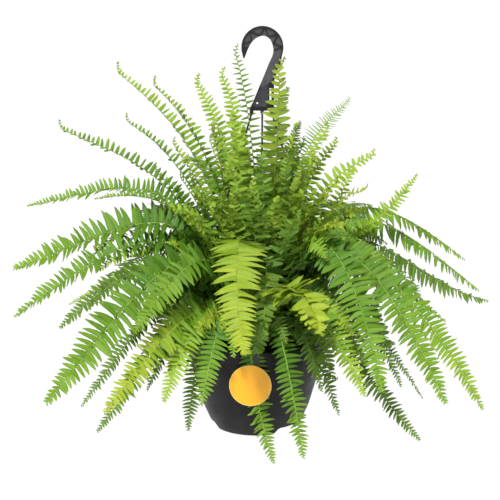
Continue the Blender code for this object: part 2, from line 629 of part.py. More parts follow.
def clip(name, azimuth):
    """A bracket that straddles the rim."""
    a = math.radians(azimuth)
    out = Vector((math.cos(a), math.sin(a), 0))
    across = Vector((-math.sin(a), math.cos(a), 0))
    half = CLIP_WIDTH / 2
    flat = math.sqrt(RIM_RADIUS ** 2 - half ** 2)
    r_out = RIM_RADIUS + GAP
    r_in = flat - POT_WALL - CLIP_INNER_SLACK - GAP
    low_out = RIM_Z - CLIP_OUTER_LEG
    low_in = RIM_Z - CLIP_INNER_LEG
    top = RIM_Z + GAP
    section = [
        (r_in - CLIP_PLATE * 0.7, low_in), (r_in, low_in), (r_in, top), (r_out, top),
        (r_out, low_out), (r_out + CLIP_PLATE, low_out), (r_out + CLIP_PLATE, top + CLIP_PLATE * 0.6),
        (r_out + CLIP_PLATE * 0.5, top + CLIP_PLATE), (r_in - CLIP_PLATE * 0.7, top + CLIP_PLATE),
    ]
    rings = []
    for side in (-1, 1):
        rings.append([
            Vector((POT_X, 0, 0)) + out * r + across * (side * half) + Vector((0, 0, z))
            for r, z in section
        ])
    points, faces = ring_loft(rings)
    return mesh_object(name, points, faces)


def build_strand(name, top_x, azimuth, bow_out, bow_x):
    route = strand_route(top_x, azimuth, bow_out, bow_x)
    strand = tube(name, route, [STRAND_RADIUS] * len(route), STRAND_SIDES)
    boolean(strand, [clip(name + "_clip", azimuth)], "UNION")
    finish(strand, "hanger_plastic")
    return strand


# Rachis
def from_rim(point):
    return np.array([POT_X / MM + point[0], point[1], RIM_Z / MM + point[2]]) * MM


def turned_about_pot(point, degrees):
    a = math.radians(degrees)
    x, y, z = point
    return (x * math.cos(a) - y * math.sin(a), x * math.sin(a) + y * math.cos(a), z)


def rachis_handles(frond, place, sway, lift):
    """The four points of the cubic curve, in metres."""
    root = from_rim((*place, (ROOT_RISE - SOIL_DROP) / MM))
    rise = from_rim(turned_about_pot((*frond.rise[:2], frond.rise[2] + lift), sway))
    bend = from_rim(turned_about_pot((*frond.bend[:2], frond.bend[2] + lift / 2), sway / 2))
    return [root, rise, bend, from_rim(frond.tip)]


def cubic(handles, t):
    a, b, c, d = handles
    t = np.asarray(t)[:, None]
    return (1 - t) ** 3 * a + 3 * t * (1 - t) ** 2 * b + 3 * t * t * (1 - t) * c + t ** 3 * d


def unit(v):
    return v / np.linalg.norm(v)


def rachis_points(handles, count):
    """Points at equal steps along the curve, with the plumb stretch in the soil before them."""
    fine = cubic(handles, np.linspace(0, 1, 121))
    steps = np.linalg.norm(np.diff(fine, axis=0), axis=1)
    along = np.concatenate([[0], np.cumsum(steps)])
    wanted = np.linspace(0, along[-1], count)
    even = np.stack([np.interp(wanted, along, fine[:, k]) for k in range(3)], axis=1)
    foot = handles[0] - np.array([0, 0, ROOT_DEPTH])
    return np.vstack([foot, even])


def nearest(route, other):
    """The smallest distance between the points of one polyline and the spans of another."""
    start, span = other[:-1], np.diff(other, axis=0)
    square = (span ** 2).sum(axis=1)
    apart = route[:, None, :] - start[None]
    t = np.clip((apart * span[None]).sum(axis=2) / square[None], 0, 1)
    gap = apart - t[..., None] * span[None]
    return float(np.sqrt((gap ** 2).sum(axis=2).min()))


def hits_pot(route):
    """True where the rachis comes too near the pot's rim or wall, a clip or the tag."""
    r = np.hypot(route[:, 0] - POT_X, route[:, 1])
    drop = RIM_Z - route[:, 2]
    beside_rim = np.abs(r - RIM_RADIUS + POT_WALL / 2) < RIM_CLEAR
    over_rim = beside_rim & (drop > -RIM_CLEAR_ABOVE) & (drop < RIM_BAND)
    inside_wall = (drop > 0) & (r < RIM_RADIUS + WALL_CLEAR_OUT) & (r > RIM_RADIUS - WALL_CLEAR_IN)
    a = math.radians(TAG_AZIMUTH)
    out = (route[:, 0] - POT_X) * math.cos(a) + route[:, 1] * math.sin(a)
    across = -(route[:, 0] - POT_X) * math.sin(a) + route[:, 1] * math.cos(a)
    beside = np.abs(across) < TAG_DIAMETER / 2 + TAG_CLEAR_SIDE
    level = np.abs(drop - TAG_CENTRE_DROP) < TAG_DIAMETER / 2 + TAG_CLEAR_SIDE
    behind = out < TAG_STANDOFF - TAG_CLEAR_BEHIND
    before = out > TAG_STANDOFF + TAG_THICKNESS + TAG_CLEAR_FRONT
    tag = beside & level & ~behind & ~before
    hit = over_rim | inside_wall | tag
    for _, _, azimuth, _, _ in STRANDS:
        a = math.radians(azimuth)
        out = (route[:, 0] - POT_X) * math.cos(a) + route[:, 1] * math.sin(a)
        across = -(route[:, 0] - POT_X) * math.sin(a) + route[:, 1] * math.cos(a)
        beside = np.abs(across) < CLIP_WIDTH / 2 + CLIP_CLEAR
        near = (out > RIM_RADIUS - CLIP_REACH_IN) & (out < RIM_RADIUS + CLIP_PLATE + CLIP_CLEAR)
        hit |= beside & near & (drop > -CLIP_PLATE - CLIP_CLEAR) & (drop < CLIP_OUTER_LEG + CLIP_CLEAR)
    return bool(hit.any())


def nudges():
    """Small turns about the pot's axis and lifts, the smallest first."""
    tries = [(sway, lift) for sway in range(-12, 13, 2) for lift in (0, 8, -8, 16, -16)]
    return sorted(tries, key=lambda pair: (abs(pair[0]) + abs(pair[1]) / 4, pair))


def root_places(frond, lead_place):
    """Places for the stem's foot as (x, y) in mm from the pot's axis, the preferred one first."""
    if lead_place:
        ahead = math.atan2(frond.tip[1] - lead_place[1], frond.tip[0] - lead_place[0])
        turns = sorted(range(-165, 181, 15), key=abs)
        return [
            (lead_place[0] + TWIN_SPACING / MM * math.cos(ahead + math.radians(turn)),
             lead_place[1] + TWIN_SPACING / MM * math.sin(ahead + math.radians(turn)))
            for turn in turns
        ]
    ring = ROOT_RING[frond.ring]
    azimuth = math.degrees(math.atan2(frond.bend[1], frond.bend[0]))
    places = [(turn, shift) for turn in range(-36, 37, 6) for shift in (0, -7, 5)]
    places.sort(key=lambda place: abs(place[0]) + 1.5 * abs(place[1]))
    return [
        ((ring + shift) * math.cos(math.radians(azimuth + turn)),
         (ring + shift) * math.sin(math.radians(azimuth + turn)))
        for turn, shift in places
    ]


def plan_routes(obstacles):
    """A clear curve for every frond: {name: route}."""
    routes = {}
    for frond in FRONDS:
        routes[frond.name] = clear_route(frond, routes, obstacles)
    return routes


def clear_route(frond, routes, obstacles):
    """The first place and nudge at which the rachis keeps its distance from all before it."""
    lead = routes.get(TWINS.get(frond.name))
    spacing = TWIN_TO_OTHERS if lead else ROOT_SPACING
    for place in root_places(frond, lead and lead["place"]):
        for sway, lift in nudges():
            handles = rachis_handles(frond, place, sway, lift)
            if any(np.linalg.norm(handles[0] - other["handles"][0]) < spacing
                   for other in routes.values() if other is not lead):
                break
            points = rachis_points(handles, ROUTE_POINTS)
            if hits_pot(points) or not all(clear_of(points, line) for line in obstacles):
                continue
            skips = [1 if other is lead else 0 for other in routes.values()]
            if all(clear_of(points[skip:], other["points"][skip:])
                   for skip, other in zip(skips, routes.values())):
                return {"handles": handles, "points": points, "place": place}
    raise RuntimeError("no clear route for " + frond.name)


def clear_of(route, other):
    """True where the routes' boxes, or the routes themselves, are ROUTE_GAP apart."""
    low, high = np.maximum(route.min(0), other.min(0)), np.minimum(route.max(0), other.max(0))
    return bool((low - high > ROUTE_GAP).any()) or nearest(route, other) >= ROUTE_GAP


# Blade
def leaf_profile(s):
    """Leaflet length along the leafy part, from 0 at its start to 1 at the tip, against the longest."""
    rise = 0.55 + 0.45 * math.sin(min(1.0, s / 0.32) * math.pi / 2)
    return rise * (1 - 0.93 * s ** 2.4)


def frames(points, frond):
    """Tangent, across and face direction at every point of a rachis."""
    heading = points[-1] - points[1]
    heading[2] = 0
    heading = unit(heading)
    level = np.cross(heading, [0.0, 0.0, 1.0])
    roll = math.radians(frond.roll)
    made = []
    for i in range(len(points)):
        ahead = unit(points[min(i + 1, len(points) - 1)] - points[max(i - 1, 0)])
        across = unit(level - ahead * float(level @ ahead))
        face = np.cross(across, ahead)
        made.append((ahead, across * math.cos(roll) - face * math.sin(roll),
                     face * math.cos(roll) + across * math.sin(roll)))
    return made


def stations(frond, handles):
    """Points of the rachis: the foot, the bare stem, then one at each leaflet's base and the tip."""
    fine = rachis_points(handles, 400)
    bare = LEAFY_FROM[frond.ring]
    wanted = [0.0] + list(np.linspace(0, bare, STEM_POINTS + 1)[1:])
    steps = [k / frond.pairs for k in range(1, frond.pairs + 1)]
    wanted += [bare + (1 - bare) * (1 - (1 - step) ** LEAF_CROWDING) for step in steps]
    index = [1 + min(399, round(w * 399)) for w in wanted]
    return np.vstack([fine[:1], fine[index]])


def corners(point, frame, half_width, half_thickness):
    _, across, face = frame
    w, t = across * half_width, face * half_thickness
    return [point + t - w, point + t + w, point - t + w, point - t - w]


class Blade:
    """One frond's points and faces, as it is built up leaflet by leaflet."""

    def __init__(self, frond, handles):
        self.frond = frond
        self.points = stations(frond, handles)
        self.frames = frames(self.points, frond)
        self.count = len(self.points)
        self.first_leaf = STEM_POINTS + 1
        self.rings = []
        for i, point in enumerate(self.points):
            s = max(0, i - self.first_leaf) / (self.count - 1 - self.first_leaf)
            stem = max(0.0, 1 - max(0, i - 1) / STEM_POINTS)
            width = RIB_HALF_WIDTH * (1 - 0.45 * s) + (STEM_HALF - RIB_HALF_WIDTH) * stem
            thick = RIB_HALF_THICKNESS * (1 - 0.35 * s) + (STEM_HALF - RIB_HALF_THICKNESS) * stem
            self.rings.append(corners(point, self.frames[i], width, thick))
        self.tips = {}

    def leaf_tip(self, i, side, fold, scale):
        """Upper and lower tip of the leaflet between stations i and i + 1, side +1 or -1."""
        s = (i + 0.5 - self.first_leaf) / (self.count - 1 - self.first_leaf)
        ahead, across, face = self.frames[i]
        ahead2, across2, face2 = self.frames[i + 1]
        ahead, across, face = unit(ahead + ahead2), unit(across + across2), unit(face + face2)
        a = math.radians(fold)
        out = across * (side * math.cos(a)) + face * math.sin(a)
        normal = face * math.cos(a) - across * (side * math.sin(a))
        lean = math.radians(LEAF_FORWARD + 14 * s)
        length = self.frond.half_width * MM * leaf_profile(s) * scale
        middle = (self.points[i] + self.points[i + 1]) / 2
        tip = middle + out * (length * math.cos(lean)) + ahead * (length * math.sin(lean))
        return tip + normal * TIP_HALF_THICKNESS, tip - normal * TIP_HALF_THICKNESS, normal, out

    def side_corners(self, i, side):
        upper, lower = (1, 2) if side > 0 else (0, 3)
        return self.rings[i][upper], self.rings[i][lower]

    def probe(self, i, side, tips):
        """The leaflet as a slightly thicker prism, for the clearance test."""
        top, under, normal, out = tips
        a_top, a_low = self.side_corners(i, side)
        b_top, b_low = self.side_corners(i + 1, side)
        swell = normal * LEAF_MARGIN
        reach = out * LEAF_MARGIN
        pts = [a_top + swell, b_top + swell, top + swell + reach,
               a_low - swell, b_low - swell, under - swell + reach]
        faces = [(0, 1, 2), (3, 5, 4), (0, 3, 4), (0, 4, 1), (1, 4, 5), (1, 5, 2), (2, 5, 3), (2, 3, 0)]
        return [Vector(p) for p in pts], faces

    def mesh(self, with_leaflets=True, foot_cap=True):
        points, faces = [], []
        for ring in self.rings:
            points.extend(ring)
        for i in range(self.count - 1):
            a, b = 4 * i, 4 * (i + 1)
            faces += [(a, a + 1, b + 1), (a, b + 1, b), (a + 3, b + 3, b + 2), (a + 3, b + 2, a + 2)]
            for side, upper, lower in ((1, 1, 2), (-1, 0, 3)):
                tips = self.tips.get((i, side)) if with_leaflets else None
                if tips is None:
                    faces += [(a + upper, a + lower, b + lower), (a + upper, b + lower, b + upper)]
                    continue
                t = len(points)
                points.extend(tips[:2])
                faces += [(a + upper, t, b + upper), (a + lower, b + lower, t + 1)]
                faces += [(a + upper, a + lower, t + 1), (a + upper, t + 1, t)]
                faces += [(t, t + 1, b + lower), (t, b + lower, b + upper)]
        last = 4 * (self.count - 1)
        faces += [(last, last + 1, last + 2), (last, last + 2, last + 3)]
        if foot_cap:
            faces += [(0, 3, 2), (0, 2, 1)]
        return points, faces


def tree_of(points, faces):
    return BVHTree.FromPolygons([Vector(p) for p in points], faces, all_triangles=True)


def tree_of_object(obj):
    mesh = obj.data
    mesh.calc_loop_triangles()
    points = [obj.matrix_world @ v.co for v in mesh.vertices]
    faces = [tuple(t.vertices) for t in mesh.loop_triangles]
    return BVHTree.FromPolygons(points, faces, all_triangles=True)


def grow_leaflets(blades, solids):
    """Adds each leaflet at the first fold and length that touches nothing already in place."""
    rng = random.Random(SEED)
    ribs = {name: tree_of(*blade.mesh(with_leaflets=False)) for name, blade in blades.items()}
    done = {}
    for name, blade in blades.items():
        others = solids + [done.get(other, ribs[other]) for other in blades if other != name]
        for i in range(blade.first_leaf, blade.count - 1):
            for side in (1, -1):
                fold = LEAF_FOLD + rng.uniform(-FOLD_JITTER, FOLD_JITTER)
                found = clear_leaflet(blade, i, side, fold, others)
                if found:
                    blade.tips[(i, side)] = found
        done[name] = tree_of(*blade.mesh())


def clear_leaflet(blade, i, side, fold, others):
    for scale in LENGTH_TRIES:
        for turn in FOLD_TRIES:
            tips = blade.leaf_tip(i, side, fold + turn, scale)
            tree = BVHTree.FromPolygons(*blade.probe(i, side, tips), all_triangles=True)
            if not any(tree.overlap(other) for other in others):
                return tips
    return None


def knob_axes(first, second):
    along = second - first
    along[2] = 0
    along = unit(along)
    return along, np.array([-along[1], along[0], 0])


def knob_corners(centre, along, side, half_long, half_wide):
    """Four corners round a point, counter-clockwise from above."""
    return [centre + along * (sx * half_long) + side * (sy * half_wide)
            for sx, sy in ((-1, -1), (1, -1), (1, 1), (-1, 1))]


def best_turn(quad, ring):
    """The quad's corners in the order that lies nearest the ring's."""
    turns = [quad[k:] + quad[:k] for k in range(4)]
    return min(turns, key=lambda turn: sum(np.linalg.norm(a - b) for a, b in zip(turn, ring)))


def twin_mesh(first, second):
    """Two fronds whose stems grow from the top of one knob of rootstock."""
    along, side = knob_axes(first.points[1], second.points[1])
    quads = [
        knob_corners(blade.points[1], along, side, KNOB_STEM_HALF, KNOB_HALF_WIDTH)
        for blade in (first, second)
    ]
    low = np.array([0, 0, -KNOB_DEPTH])
    base = [quads[0][0] + low, quads[1][1] + low, quads[1][2] + low, quads[0][3] + low]
    points, faces = [], []
    tops = []
    for blade, quad in zip((first, second), quads):
        blade.rings = [best_turn(quad, blade.rings[2])] + blade.rings[2:]
        blade.tips = {(i - 1, edge): tips for (i, edge), tips in blade.tips.items()}
        blade.count -= 1
        start = len(points)
        own_points, own_faces = blade.mesh(foot_cap=False)
        points += own_points
        faces += [tuple(start + k for k in face) for face in own_faces]
        order = {tuple(corner): start + k for k, corner in enumerate(blade.rings[0])}
        tops.append([order[tuple(corner)] for corner in quad])
    b = len(points)
    points += base
    p, q = tops
    faces += [(p[1], q[0], q[3]), (p[1], q[3], p[2])]
    faces += [(b, b + 3, b + 2), (b, b + 2, b + 1)]
    faces += [(p[0], b, p[1]), (p[1], b, q[0]), (q[0], b, b + 1), (q[0], b + 1, q[1])]
    faces += [(p[3], p[2], b + 3), (p[2], q[3], b + 3), (q[3], b + 2, b + 3), (q[3], q[2], b + 2)]
    faces += [(p[0], p[3], b + 3), (p[0], b + 3, b), (q[1], b + 1, b + 2), (q[1], b + 2, q[2])]
    return points, faces


def knob_cutter(name, first, second):
    along, side = knob_axes(first[1], second[1])
    half_long = np.linalg.norm(second[1][:2] - first[1][:2]) / 2 + KNOB_STEM_HALF + STEM_HOLE_CLEAR
    centre = (first[1] + second[1]) / 2
    rings = [
        knob_corners(centre + np.array([0, 0, z]), along, side, half_long, KNOB_HALF_WIDTH + STEM_HOLE_CLEAR)
        for z in (-KNOB_DEPTH - GAP, HOLE_OVER_KNOB)
    ]
    points, faces = ring_loft(rings)
    return mesh_object(name, points, faces)


def stem_cutter(name, blade):
    """A plain hole for one stem, wider than it by the gap on every side."""
    foot, exit_point = blade.points[0], blade.points[1]
    down = unit(foot - exit_point)
    start, end = foot + down * GAP, exit_point - down * HOLE_OVER_STEM
    half = STEM_HALF + STEM_HOLE_CLEAR
    rings = [corners(p, blade.frames[0], half, half) for p in (start, end)]
    points, faces = ring_loft(rings)
    return mesh_object(name, points, faces)


def build_fronds(solids, strand_lines):
    routes = plan_routes(strand_lines)
    blades = {f.name: Blade(f, routes[f.name]["handles"]) for f in FRONDS}
    grow_leaflets(blades, solids)
    seconds = {lead: name for name, lead in TWINS.items()}
    cutters = []
    for name, blade in blades.items():
        if name in TWINS:
            continue
        if name in seconds:
            other = blades[seconds[name]]
            cutters.append(knob_cutter("hole", blade.points, other.points))
            points, faces = twin_mesh(blade, other)
        else:
            cutters.append(stem_cutter("hole", blade))
            points, faces = blade.mesh()
        finish(mesh_object("frond_" + name, points, faces), blade.frond.tone)
    return cutters


def main():
    clear_scene()
    pot = build_pot()
    tag = build_tag()
    hook = build_hook()
    strands = [build_strand(*strand) for strand in STRANDS]
    lines = [np.array([tuple(p) for p in strand_route(*strand[1:])]) for strand in STRANDS]
    lines.append(np.array([(x * MM, 0, z * MM) for x, z in HOOK_LINE]))
    solids = [tree_of_object(obj) for obj in (pot, tag, hook, *strands)]
    build_soil(build_fronds(solids, lines))


main()
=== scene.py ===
# Boston fern in a hanging basket: the looks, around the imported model.
# Metres, +Z up. The origin is the seat of the hook.
import math
import random
from collections import namedtuple

import bmesh
import bpy
import numpy as np
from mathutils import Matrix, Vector


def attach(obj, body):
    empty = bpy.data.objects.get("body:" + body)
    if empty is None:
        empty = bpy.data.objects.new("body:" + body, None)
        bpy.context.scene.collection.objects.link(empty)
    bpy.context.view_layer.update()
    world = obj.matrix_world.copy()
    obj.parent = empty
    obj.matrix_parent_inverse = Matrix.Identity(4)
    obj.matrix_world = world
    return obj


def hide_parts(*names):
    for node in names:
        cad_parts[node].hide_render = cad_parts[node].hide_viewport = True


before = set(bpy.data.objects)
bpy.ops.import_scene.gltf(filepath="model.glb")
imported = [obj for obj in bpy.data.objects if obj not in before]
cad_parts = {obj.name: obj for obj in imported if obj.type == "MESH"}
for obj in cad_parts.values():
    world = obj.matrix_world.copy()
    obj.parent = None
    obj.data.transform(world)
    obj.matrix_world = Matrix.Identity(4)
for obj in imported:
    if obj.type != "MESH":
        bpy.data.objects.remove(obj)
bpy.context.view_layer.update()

MM = 0.001
GAP = 0.3 * MM

# Pot
POT_X = -9 * MM
RIM_Z = -428 * MM
POT_HEIGHT = 135 * MM
RIM_RADIUS = 101.5 * MM
RIM_BAND = 19 * MM
POT_WALL = 2.0 * MM
POT_SIDES = 144
POT_CREASE = 38
# Rolled rim and its band, and the lip inside, as (radius over the rim's, height over the rim)
RIM_PROFILE = [(-1.6, 0), (-0.7, 0.25), (0, -0.7), (0.25, -3), (-0.3, 1.2 - RIM_BAND / MM),
               (-0.9, -RIM_BAND / MM)]
RIM_INSIDE = [(-1.2 - POT_WALL / MM, -RIM_BAND / MM), (-POT_WALL / MM, -1)]
# Step under the band: out from the wall, down from the band
RIM_STEP = (0.1 * MM, 0.4 * MM)
# Outer wall under the rim band, as (height under the rim, radius)
WALL_PROFILE = [(19, 99.4), (37, 96.5), (103, 77.5), (125, 68.0), (135, 63.0)]
# Rings of the outer wall: first and last height under the rim, and how many
WALL_RINGS = [(21, 37, 4), (44, 103, 8), (108, 131, 6)]
# Rounded foot, as (radius over the foot's, height over the foot)
FOOT_PROFILE = [(0.3, 1), (-0.5, 0), (-POT_WALL / MM, 0)]
FLOOR_HEIGHT = 14 * MM
FLOOR_RINGS = (55, 30, 2)
ARCH_HEIGHT = 10 * MM
ARCH_AZIMUTHS = (-47, -167, 73)
ARCH_HALF_ANGLE = 20
ARCH_FLAT_SHARE = 0.72
DRAIN_AZIMUTHS = (13, 133, 253)
DRAIN_RING = 38 * MM
DRAIN_RADIUS = 6 * MM
DRAIN_SIDES = 24
# Heights over the floor's underside from which and to which the drain holes are cut
DRAIN_CUT = (-3 * MM, 6 * MM)

# Soil: mounded, lumpy, with an even edge that dips to the wall
SOIL_DROP = 12 * MM
SOIL_MOUND = 3 * MM
SOIL_RADIUS = 97
SOIL_RINGS = 40
SOIL_SIDES = 96
SOIL_EDGE = 9
SOIL_DIP = 1.5 * MM
# Lumps: height of the largest, how many waves make them, their radians per metre and their start
SOIL_LUMP = 0.9 * MM
SOIL_LUMPS = 14
SOIL_FINENESS = (60, 420)
SOIL_START = (0, 6.3)
SOIL_OFF_WALL = 0.6 * MM
SOIL_SIDE_DROPS = (37, 80, 103, (POT_HEIGHT - FLOOR_HEIGHT - POT_WALL) / MM - 0.4)
SOIL_SEED = 11

# Round tag
TAG_DIAMETER = 59 * MM
TAG_THICKNESS = 1.0 * MM
TAG_BEVEL = 0.35 * MM
TAG_SIDES = 96
# Rings inside its edge: the one round the middle, and shares of the radius behind and in front
TAG_EYE = 2 * MM
TAG_MIDDLE = (0.6, 0.5)
# The pale ring ends between these distances from the edge
TAG_RING = (0.55 * MM, 0.7 * MM)
TAG_CREASE = 40
TAG_AZIMUTH = -94.6
TAG_STANDOFF = 107.5 * MM
TAG_CENTRE_DROP = 45.5 * MM
TAG_PAD_SPREAD = 14 * MM
TAG_PAD_DROP = 27 * MM
TAG_PAD_SIZE = 6 * MM
TAG_PAD_SIDES = 24
TAG_PAD_OVERLAP = 0.2 * MM

# Hook head, cut from a flat plate that faces the front
HOOK_THICKNESS = 8 * MM
HOOK_POCKET = 2.6 * MM
HOOK_FLANGE = 2.2 * MM
HOOK_ARC_CENTRE = (-0.8, -15.9)
HOOK_ARC_RADIUS = 29.2
HOOK_ARC = (196, -20)
HOOK_ARC_SPANS = 60
HOOK_CURVE_STEPS = 6
HOOK_TIP = [(-27.2, -31.6), (-25.2, -29.6)]
HOOK_INNER = [
    (-21.2, -18.8), (-15.8, -9.3), (-9.0, -2.9), (0.0, 0.0), (7.0, -2.5), (11.8, -8.2),
    (14.4, -18.8), (13.4, -27.0), (9.0, -36.8), (3.2, -51.1), (-5.3, -71.7), (-13.0, -91.0),
]
HOOK_FOOT = [(-18.4, -102.0), (-18.4, -108.0), (-13.2, -108.0), (-13.2, -104.0), (-3.4, -104.0),
             (-3.4, -108.0), (1.8, -108.0), (1.8, -104.0), (10.4, -104.0), (10.4, -108.0),
             (15.6, -108.0)]
HOOK_OUTER_SHANK = [(15.6, -63.0), (19.5, -50.5), (25.2, -34.5)]
HOOK_POCKET_ARC = (178, -18)
HOOK_POCKET_SPANS = 36
HOOK_POCKET_STEPS = 5
HOOK_POCKET_SHANK = [(22.6, -34.5), (17.0, -50.0), (13.0, -61.0), (7.0, -67.0), (-3.0, -72.0)]
# The pocket's inner edge starts off the tip, at this x or height, and ends at this height
HOOK_POCKET_TIP = (-20, -12)
HOOK_POCKET_LOW = -66
HOOK_SLOT = (9.2, 12.0, -90.0, -72.5)
HOOK_HOLE = (-7.9, -93.8, 1.6)
HOOK_HOLE_SIDES = 20
# Shallow panel of the lower shank, as (x, z)
HOOK_PANEL = [(-3.4, -72.0), (6.4, -67.5), (7.6, -70.5), (7.6, -92.0), (4.0, -98.0), (-13.6, -98.0),
              (-13.0, -94.5)]
HOOK_PANEL_DEPTH = 0.5 * MM
# The rim's painted shade is full down to this depth, and the web's paler painted sheen starts this far over
# its surface
HOOK_RIM_DEPTH = 0.35 * MM
HOOK_WEB_MARGIN = 0.2 * MM
# Ribs across the loop's channel: azimuths about the arc's centre, outer end and inner end by turns
HOOK_RIBS = (172, 150, 128, 104, 82, 62, 40, 20, 2, -12)
HOOK_RIB_WIDTH = 1.4
HOOK_RIB_HEIGHT = 2.3 * MM
HOOK_RIB_ROOT = 0.3 * MM
HOOK_BEVEL = 0.5 * MM
HOOK_BEVEL_ANGLE = 40
HOOK_CREASE = 35
CUT_PAST = 1 * MM
# An inset corner goes no further than its distance over this
MITRE_LEAST = 0.5
# Axis of the hook for the fronds' routes, as (x, z)
HOOK_LINE = [(0, 0), (14, -18), (10, -45), (0, -75), (-4, -106)]

# Strands, from the foot of the hook to the rim
STRAND_RADIUS = 1.4 * MM
STRAND_SIDES = 14
STRAND_POINTS = 9
STRAND_STEPS = 4
STRAND_CREASE = 40
STRAND_TOP_Z = -109.0 * MM
# name, x of the top, azimuth of the clip, bow outward, bow along +X
STRANDS = [
    ("strand_left", -15.8, 150, 4, 0),
    ("strand_front", -0.8, -90, 3, 2),
    ("strand_right", 13.0, 30, 4, 7),
]
CLIP_WIDTH = 8 * MM
CLIP_PLATE = 2.4 * MM
CLIP_OUTER_LEG = 16 * MM
CLIP_INNER_LEG = 6 * MM
CLIP_INNER_SLACK = 1.1 * MM
CLIP_CLEAR = 2.2 * MM
CLIP_REACH_IN = 7 * MM
# Shares of the plate: the inner leg's thickness, and (outward, up) round the top's outer and inner corner
CLIP_INNER_SHARE = 0.7
CLIP_CORNERS = [(1, 0.5), (0.8, 0.85), (0.4, 1)], [(-0.4, 1), (-0.7, 0.7)]

# Fronds: how the stems leave the soil and stay clear of the rest
ROOT_DEPTH = 14 * MM
ROOT_RISE = 3 * MM
ROOT_SPACING = 6.5 * MM
ROUTE_GAP = 3.6 * MM
ROUTE_POINTS = 60
RIM_CLEAR = 3.4 * MM
RIM_CLEAR_ABOVE = 2.6 * MM
WALL_CLEAR_OUT = 1.2 * MM
WALL_CLEAR_IN = 6 * MM
TAG_CLEAR_SIDE = 2 * MM
TAG_CLEAR_BEHIND = 1.1 * MM
TAG_CLEAR_FRONT = 1.5 * MM
TWIN_SPACING = 3.8 * MM
TWIN_TO_OTHERS = 5.5 * MM
# A route is tried with these turns about the pot's axis, in degrees, and these lifts, in mm
SWAYS = range(-12, 13, 2)
LIFTS = (0, 8, -8, 16, -16)
# A root is tried at these degrees round its ring and mm off it, or degrees round its twin's
ROOT_TURNS = range(-36, 37, 6)
ROOT_SHIFTS = (0, -7, 5)
TWIN_TURNS = range(-165, 181, 15)
# What a mm counts for against a degree
LIFT_WEIGHT = 0.25
SHIFT_WEIGHT = 1.5
# Distance from the pot's axis at which the stems of each ring leave the soil
ROOT_RING = {"heart": 15, "inner": 29, "middle": 43, "outer": 57}
# Share of each ring's rachis that is bare stem in the CAD, and in the dressed frond
LEAFY_FROM = {"outer": 0.26, "middle": 0.28, "inner": 0.34, "heart": 0.34}
BARE = {"outer": 0.12, "middle": 0.13, "inner": 0.16, "heart": 0.18}

# Fronds: seeds, how far a free frond's root may lie round its ring, in radians, and off it, in mm
SEED = 7
COMPANION_SEED = 1000
EXTRA_SEED = 2000
EXTRA_SWING = 0.5
EXTRA_SHIFT = 4
# Younger frond beside another: its turn about the pot's axis and its roll, in degrees, its lift in
# mm, and its width against the other's
COMPANION_TURN = (8, 16)
COMPANION_LIFT = (-12, 18)
COMPANION_WIDTH = (0.72, 0.88)
COMPANION_ROLL = (-25, 25)
# Share of the lift at each of the curve's four points
LIFT_SHARES = (0.0, 0.4, 1.0, 1.0)
# Length of a younger frond against its elder's
REACHES = {"top": (0.45, 0.62), "young": (0.62, 0.9), "grown": (0.50, 0.74)}

# Rachis
RIB_BASE = 1.15 * MM
RIB_TIP = 0.40 * MM
RIB_TAPER = 0.8
RIB_FLAT = 0.85
RIB_AGEING = 1.1
RIB_BELOW = 5 * MM
RIB_SIDES = 6
RIB_STEPS = 40
# Points of a dressed rachis, and of the curve on which its even steps are measured
FINE = 400
CURVE_POINTS = 121
# The young tip's hook: where it starts, in steps from the tip, its turn at each, in degrees, and the
# direction that it bends towards
CURL_FROM = 15
CURL_MORE = 10
CURL_TURN = 9.0
CURL_TOWARDS = (0.3, 0.2, 1.0)

# Pinnae: stations from root to tip, with the half width there against the widest
STATIONS = np.array((0.0, 0.07, 0.18, 0.34, 0.52, 0.68, 0.82, 0.93, 1.0))
POINTED = np.array((0.70, 1.0, 0.96, 0.86, 0.72, 0.55, 0.36, 0.17, 0.02))
OBLONG = np.array((0.62, 0.98, 1.0, 1.0, 0.96, 0.87, 0.68, 0.42, 0.08))
TEETH = 0.05
THICKNESS = 0.35 * MM
TIP_THINNER = 0.6
# The lobe at the foot of the upper margin: how much wider, where, and how far it reaches
EAR = 0.35
EAR_AT = 0.07
EAR_REACH = 0.08
# Half width in mm of a frond whose pinnae have their style's own spacing and width
USUAL_HALF_WIDTH = 24
# Shares of the spacing and of the width that follow the frond's half width
SPACING_FOLLOWS = 0.55
WIDTH_FOLLOWS = 0.25
FEWEST_PAIRS = 9
LEAST_ROOM = 2.2 * MM
LEAST_WIDTH = 0.8 * MM
WIDEST_SHARE = 0.5
PINNA_ROOT = 0.4 * MM
# Length of the lowest pinnae against the longest, and where along the blade they are full
FOOT_LENGTH = 0.60
FULL_FROM = 0.30
# The very first pinnae start at this share of that, and gain this much per length of the blade
FIRST_LENGTH = 0.50
FIRST_GAIN = 2.2
# How much shorter the last pinnae are, and how far towards the tip they stay long
TIP_SHORTER = 0.86
FULLNESS = 3.4
# How much closer the pinnae stand towards the tip, and how much further forward they lean
CROWDING = 1.22
TIP_LEAN = 18
# Random spread among pinnae: shares, and angles in degrees
LENGTH_SPREAD = (0.84, 1.08)
WIDTH_SPREAD = (0.92, 1.08)
LEAN_SPREAD = 4
ROLL_SPREAD = 8
CURVE_SPREAD = 5
DROOP_SPREAD = (0.5, 1.3)
WAVE_SPREAD = (0.3, 1.0)
WAVE_START = (0, 6.28)
WAVE_TURNS = 9.0
WAVE_FULL_AT = 25 * MM
LOWER_WAVE = 0.6
CUP_SPREAD = (-0.50, 0.15)
# Colour: how old a frond's lowest pinnae look, and the random tints
LOWEST_AGE = 0.25
FROND_TINT = 0.06
PINNA_TINT = 0.05
TIP_TINT = 0.06
BROWN_SHARE = 0.03
BROWN = 0.7
BROWN_FROM = 0.7
# Leaves in the pot's wall are laid on it, from this far inside and this far over the rim
LEAF_OFF_POT = 1.2 * MM
LEAF_IN_POT = 9 * MM
LEAF_OVER_RIM = 0.5 * MM
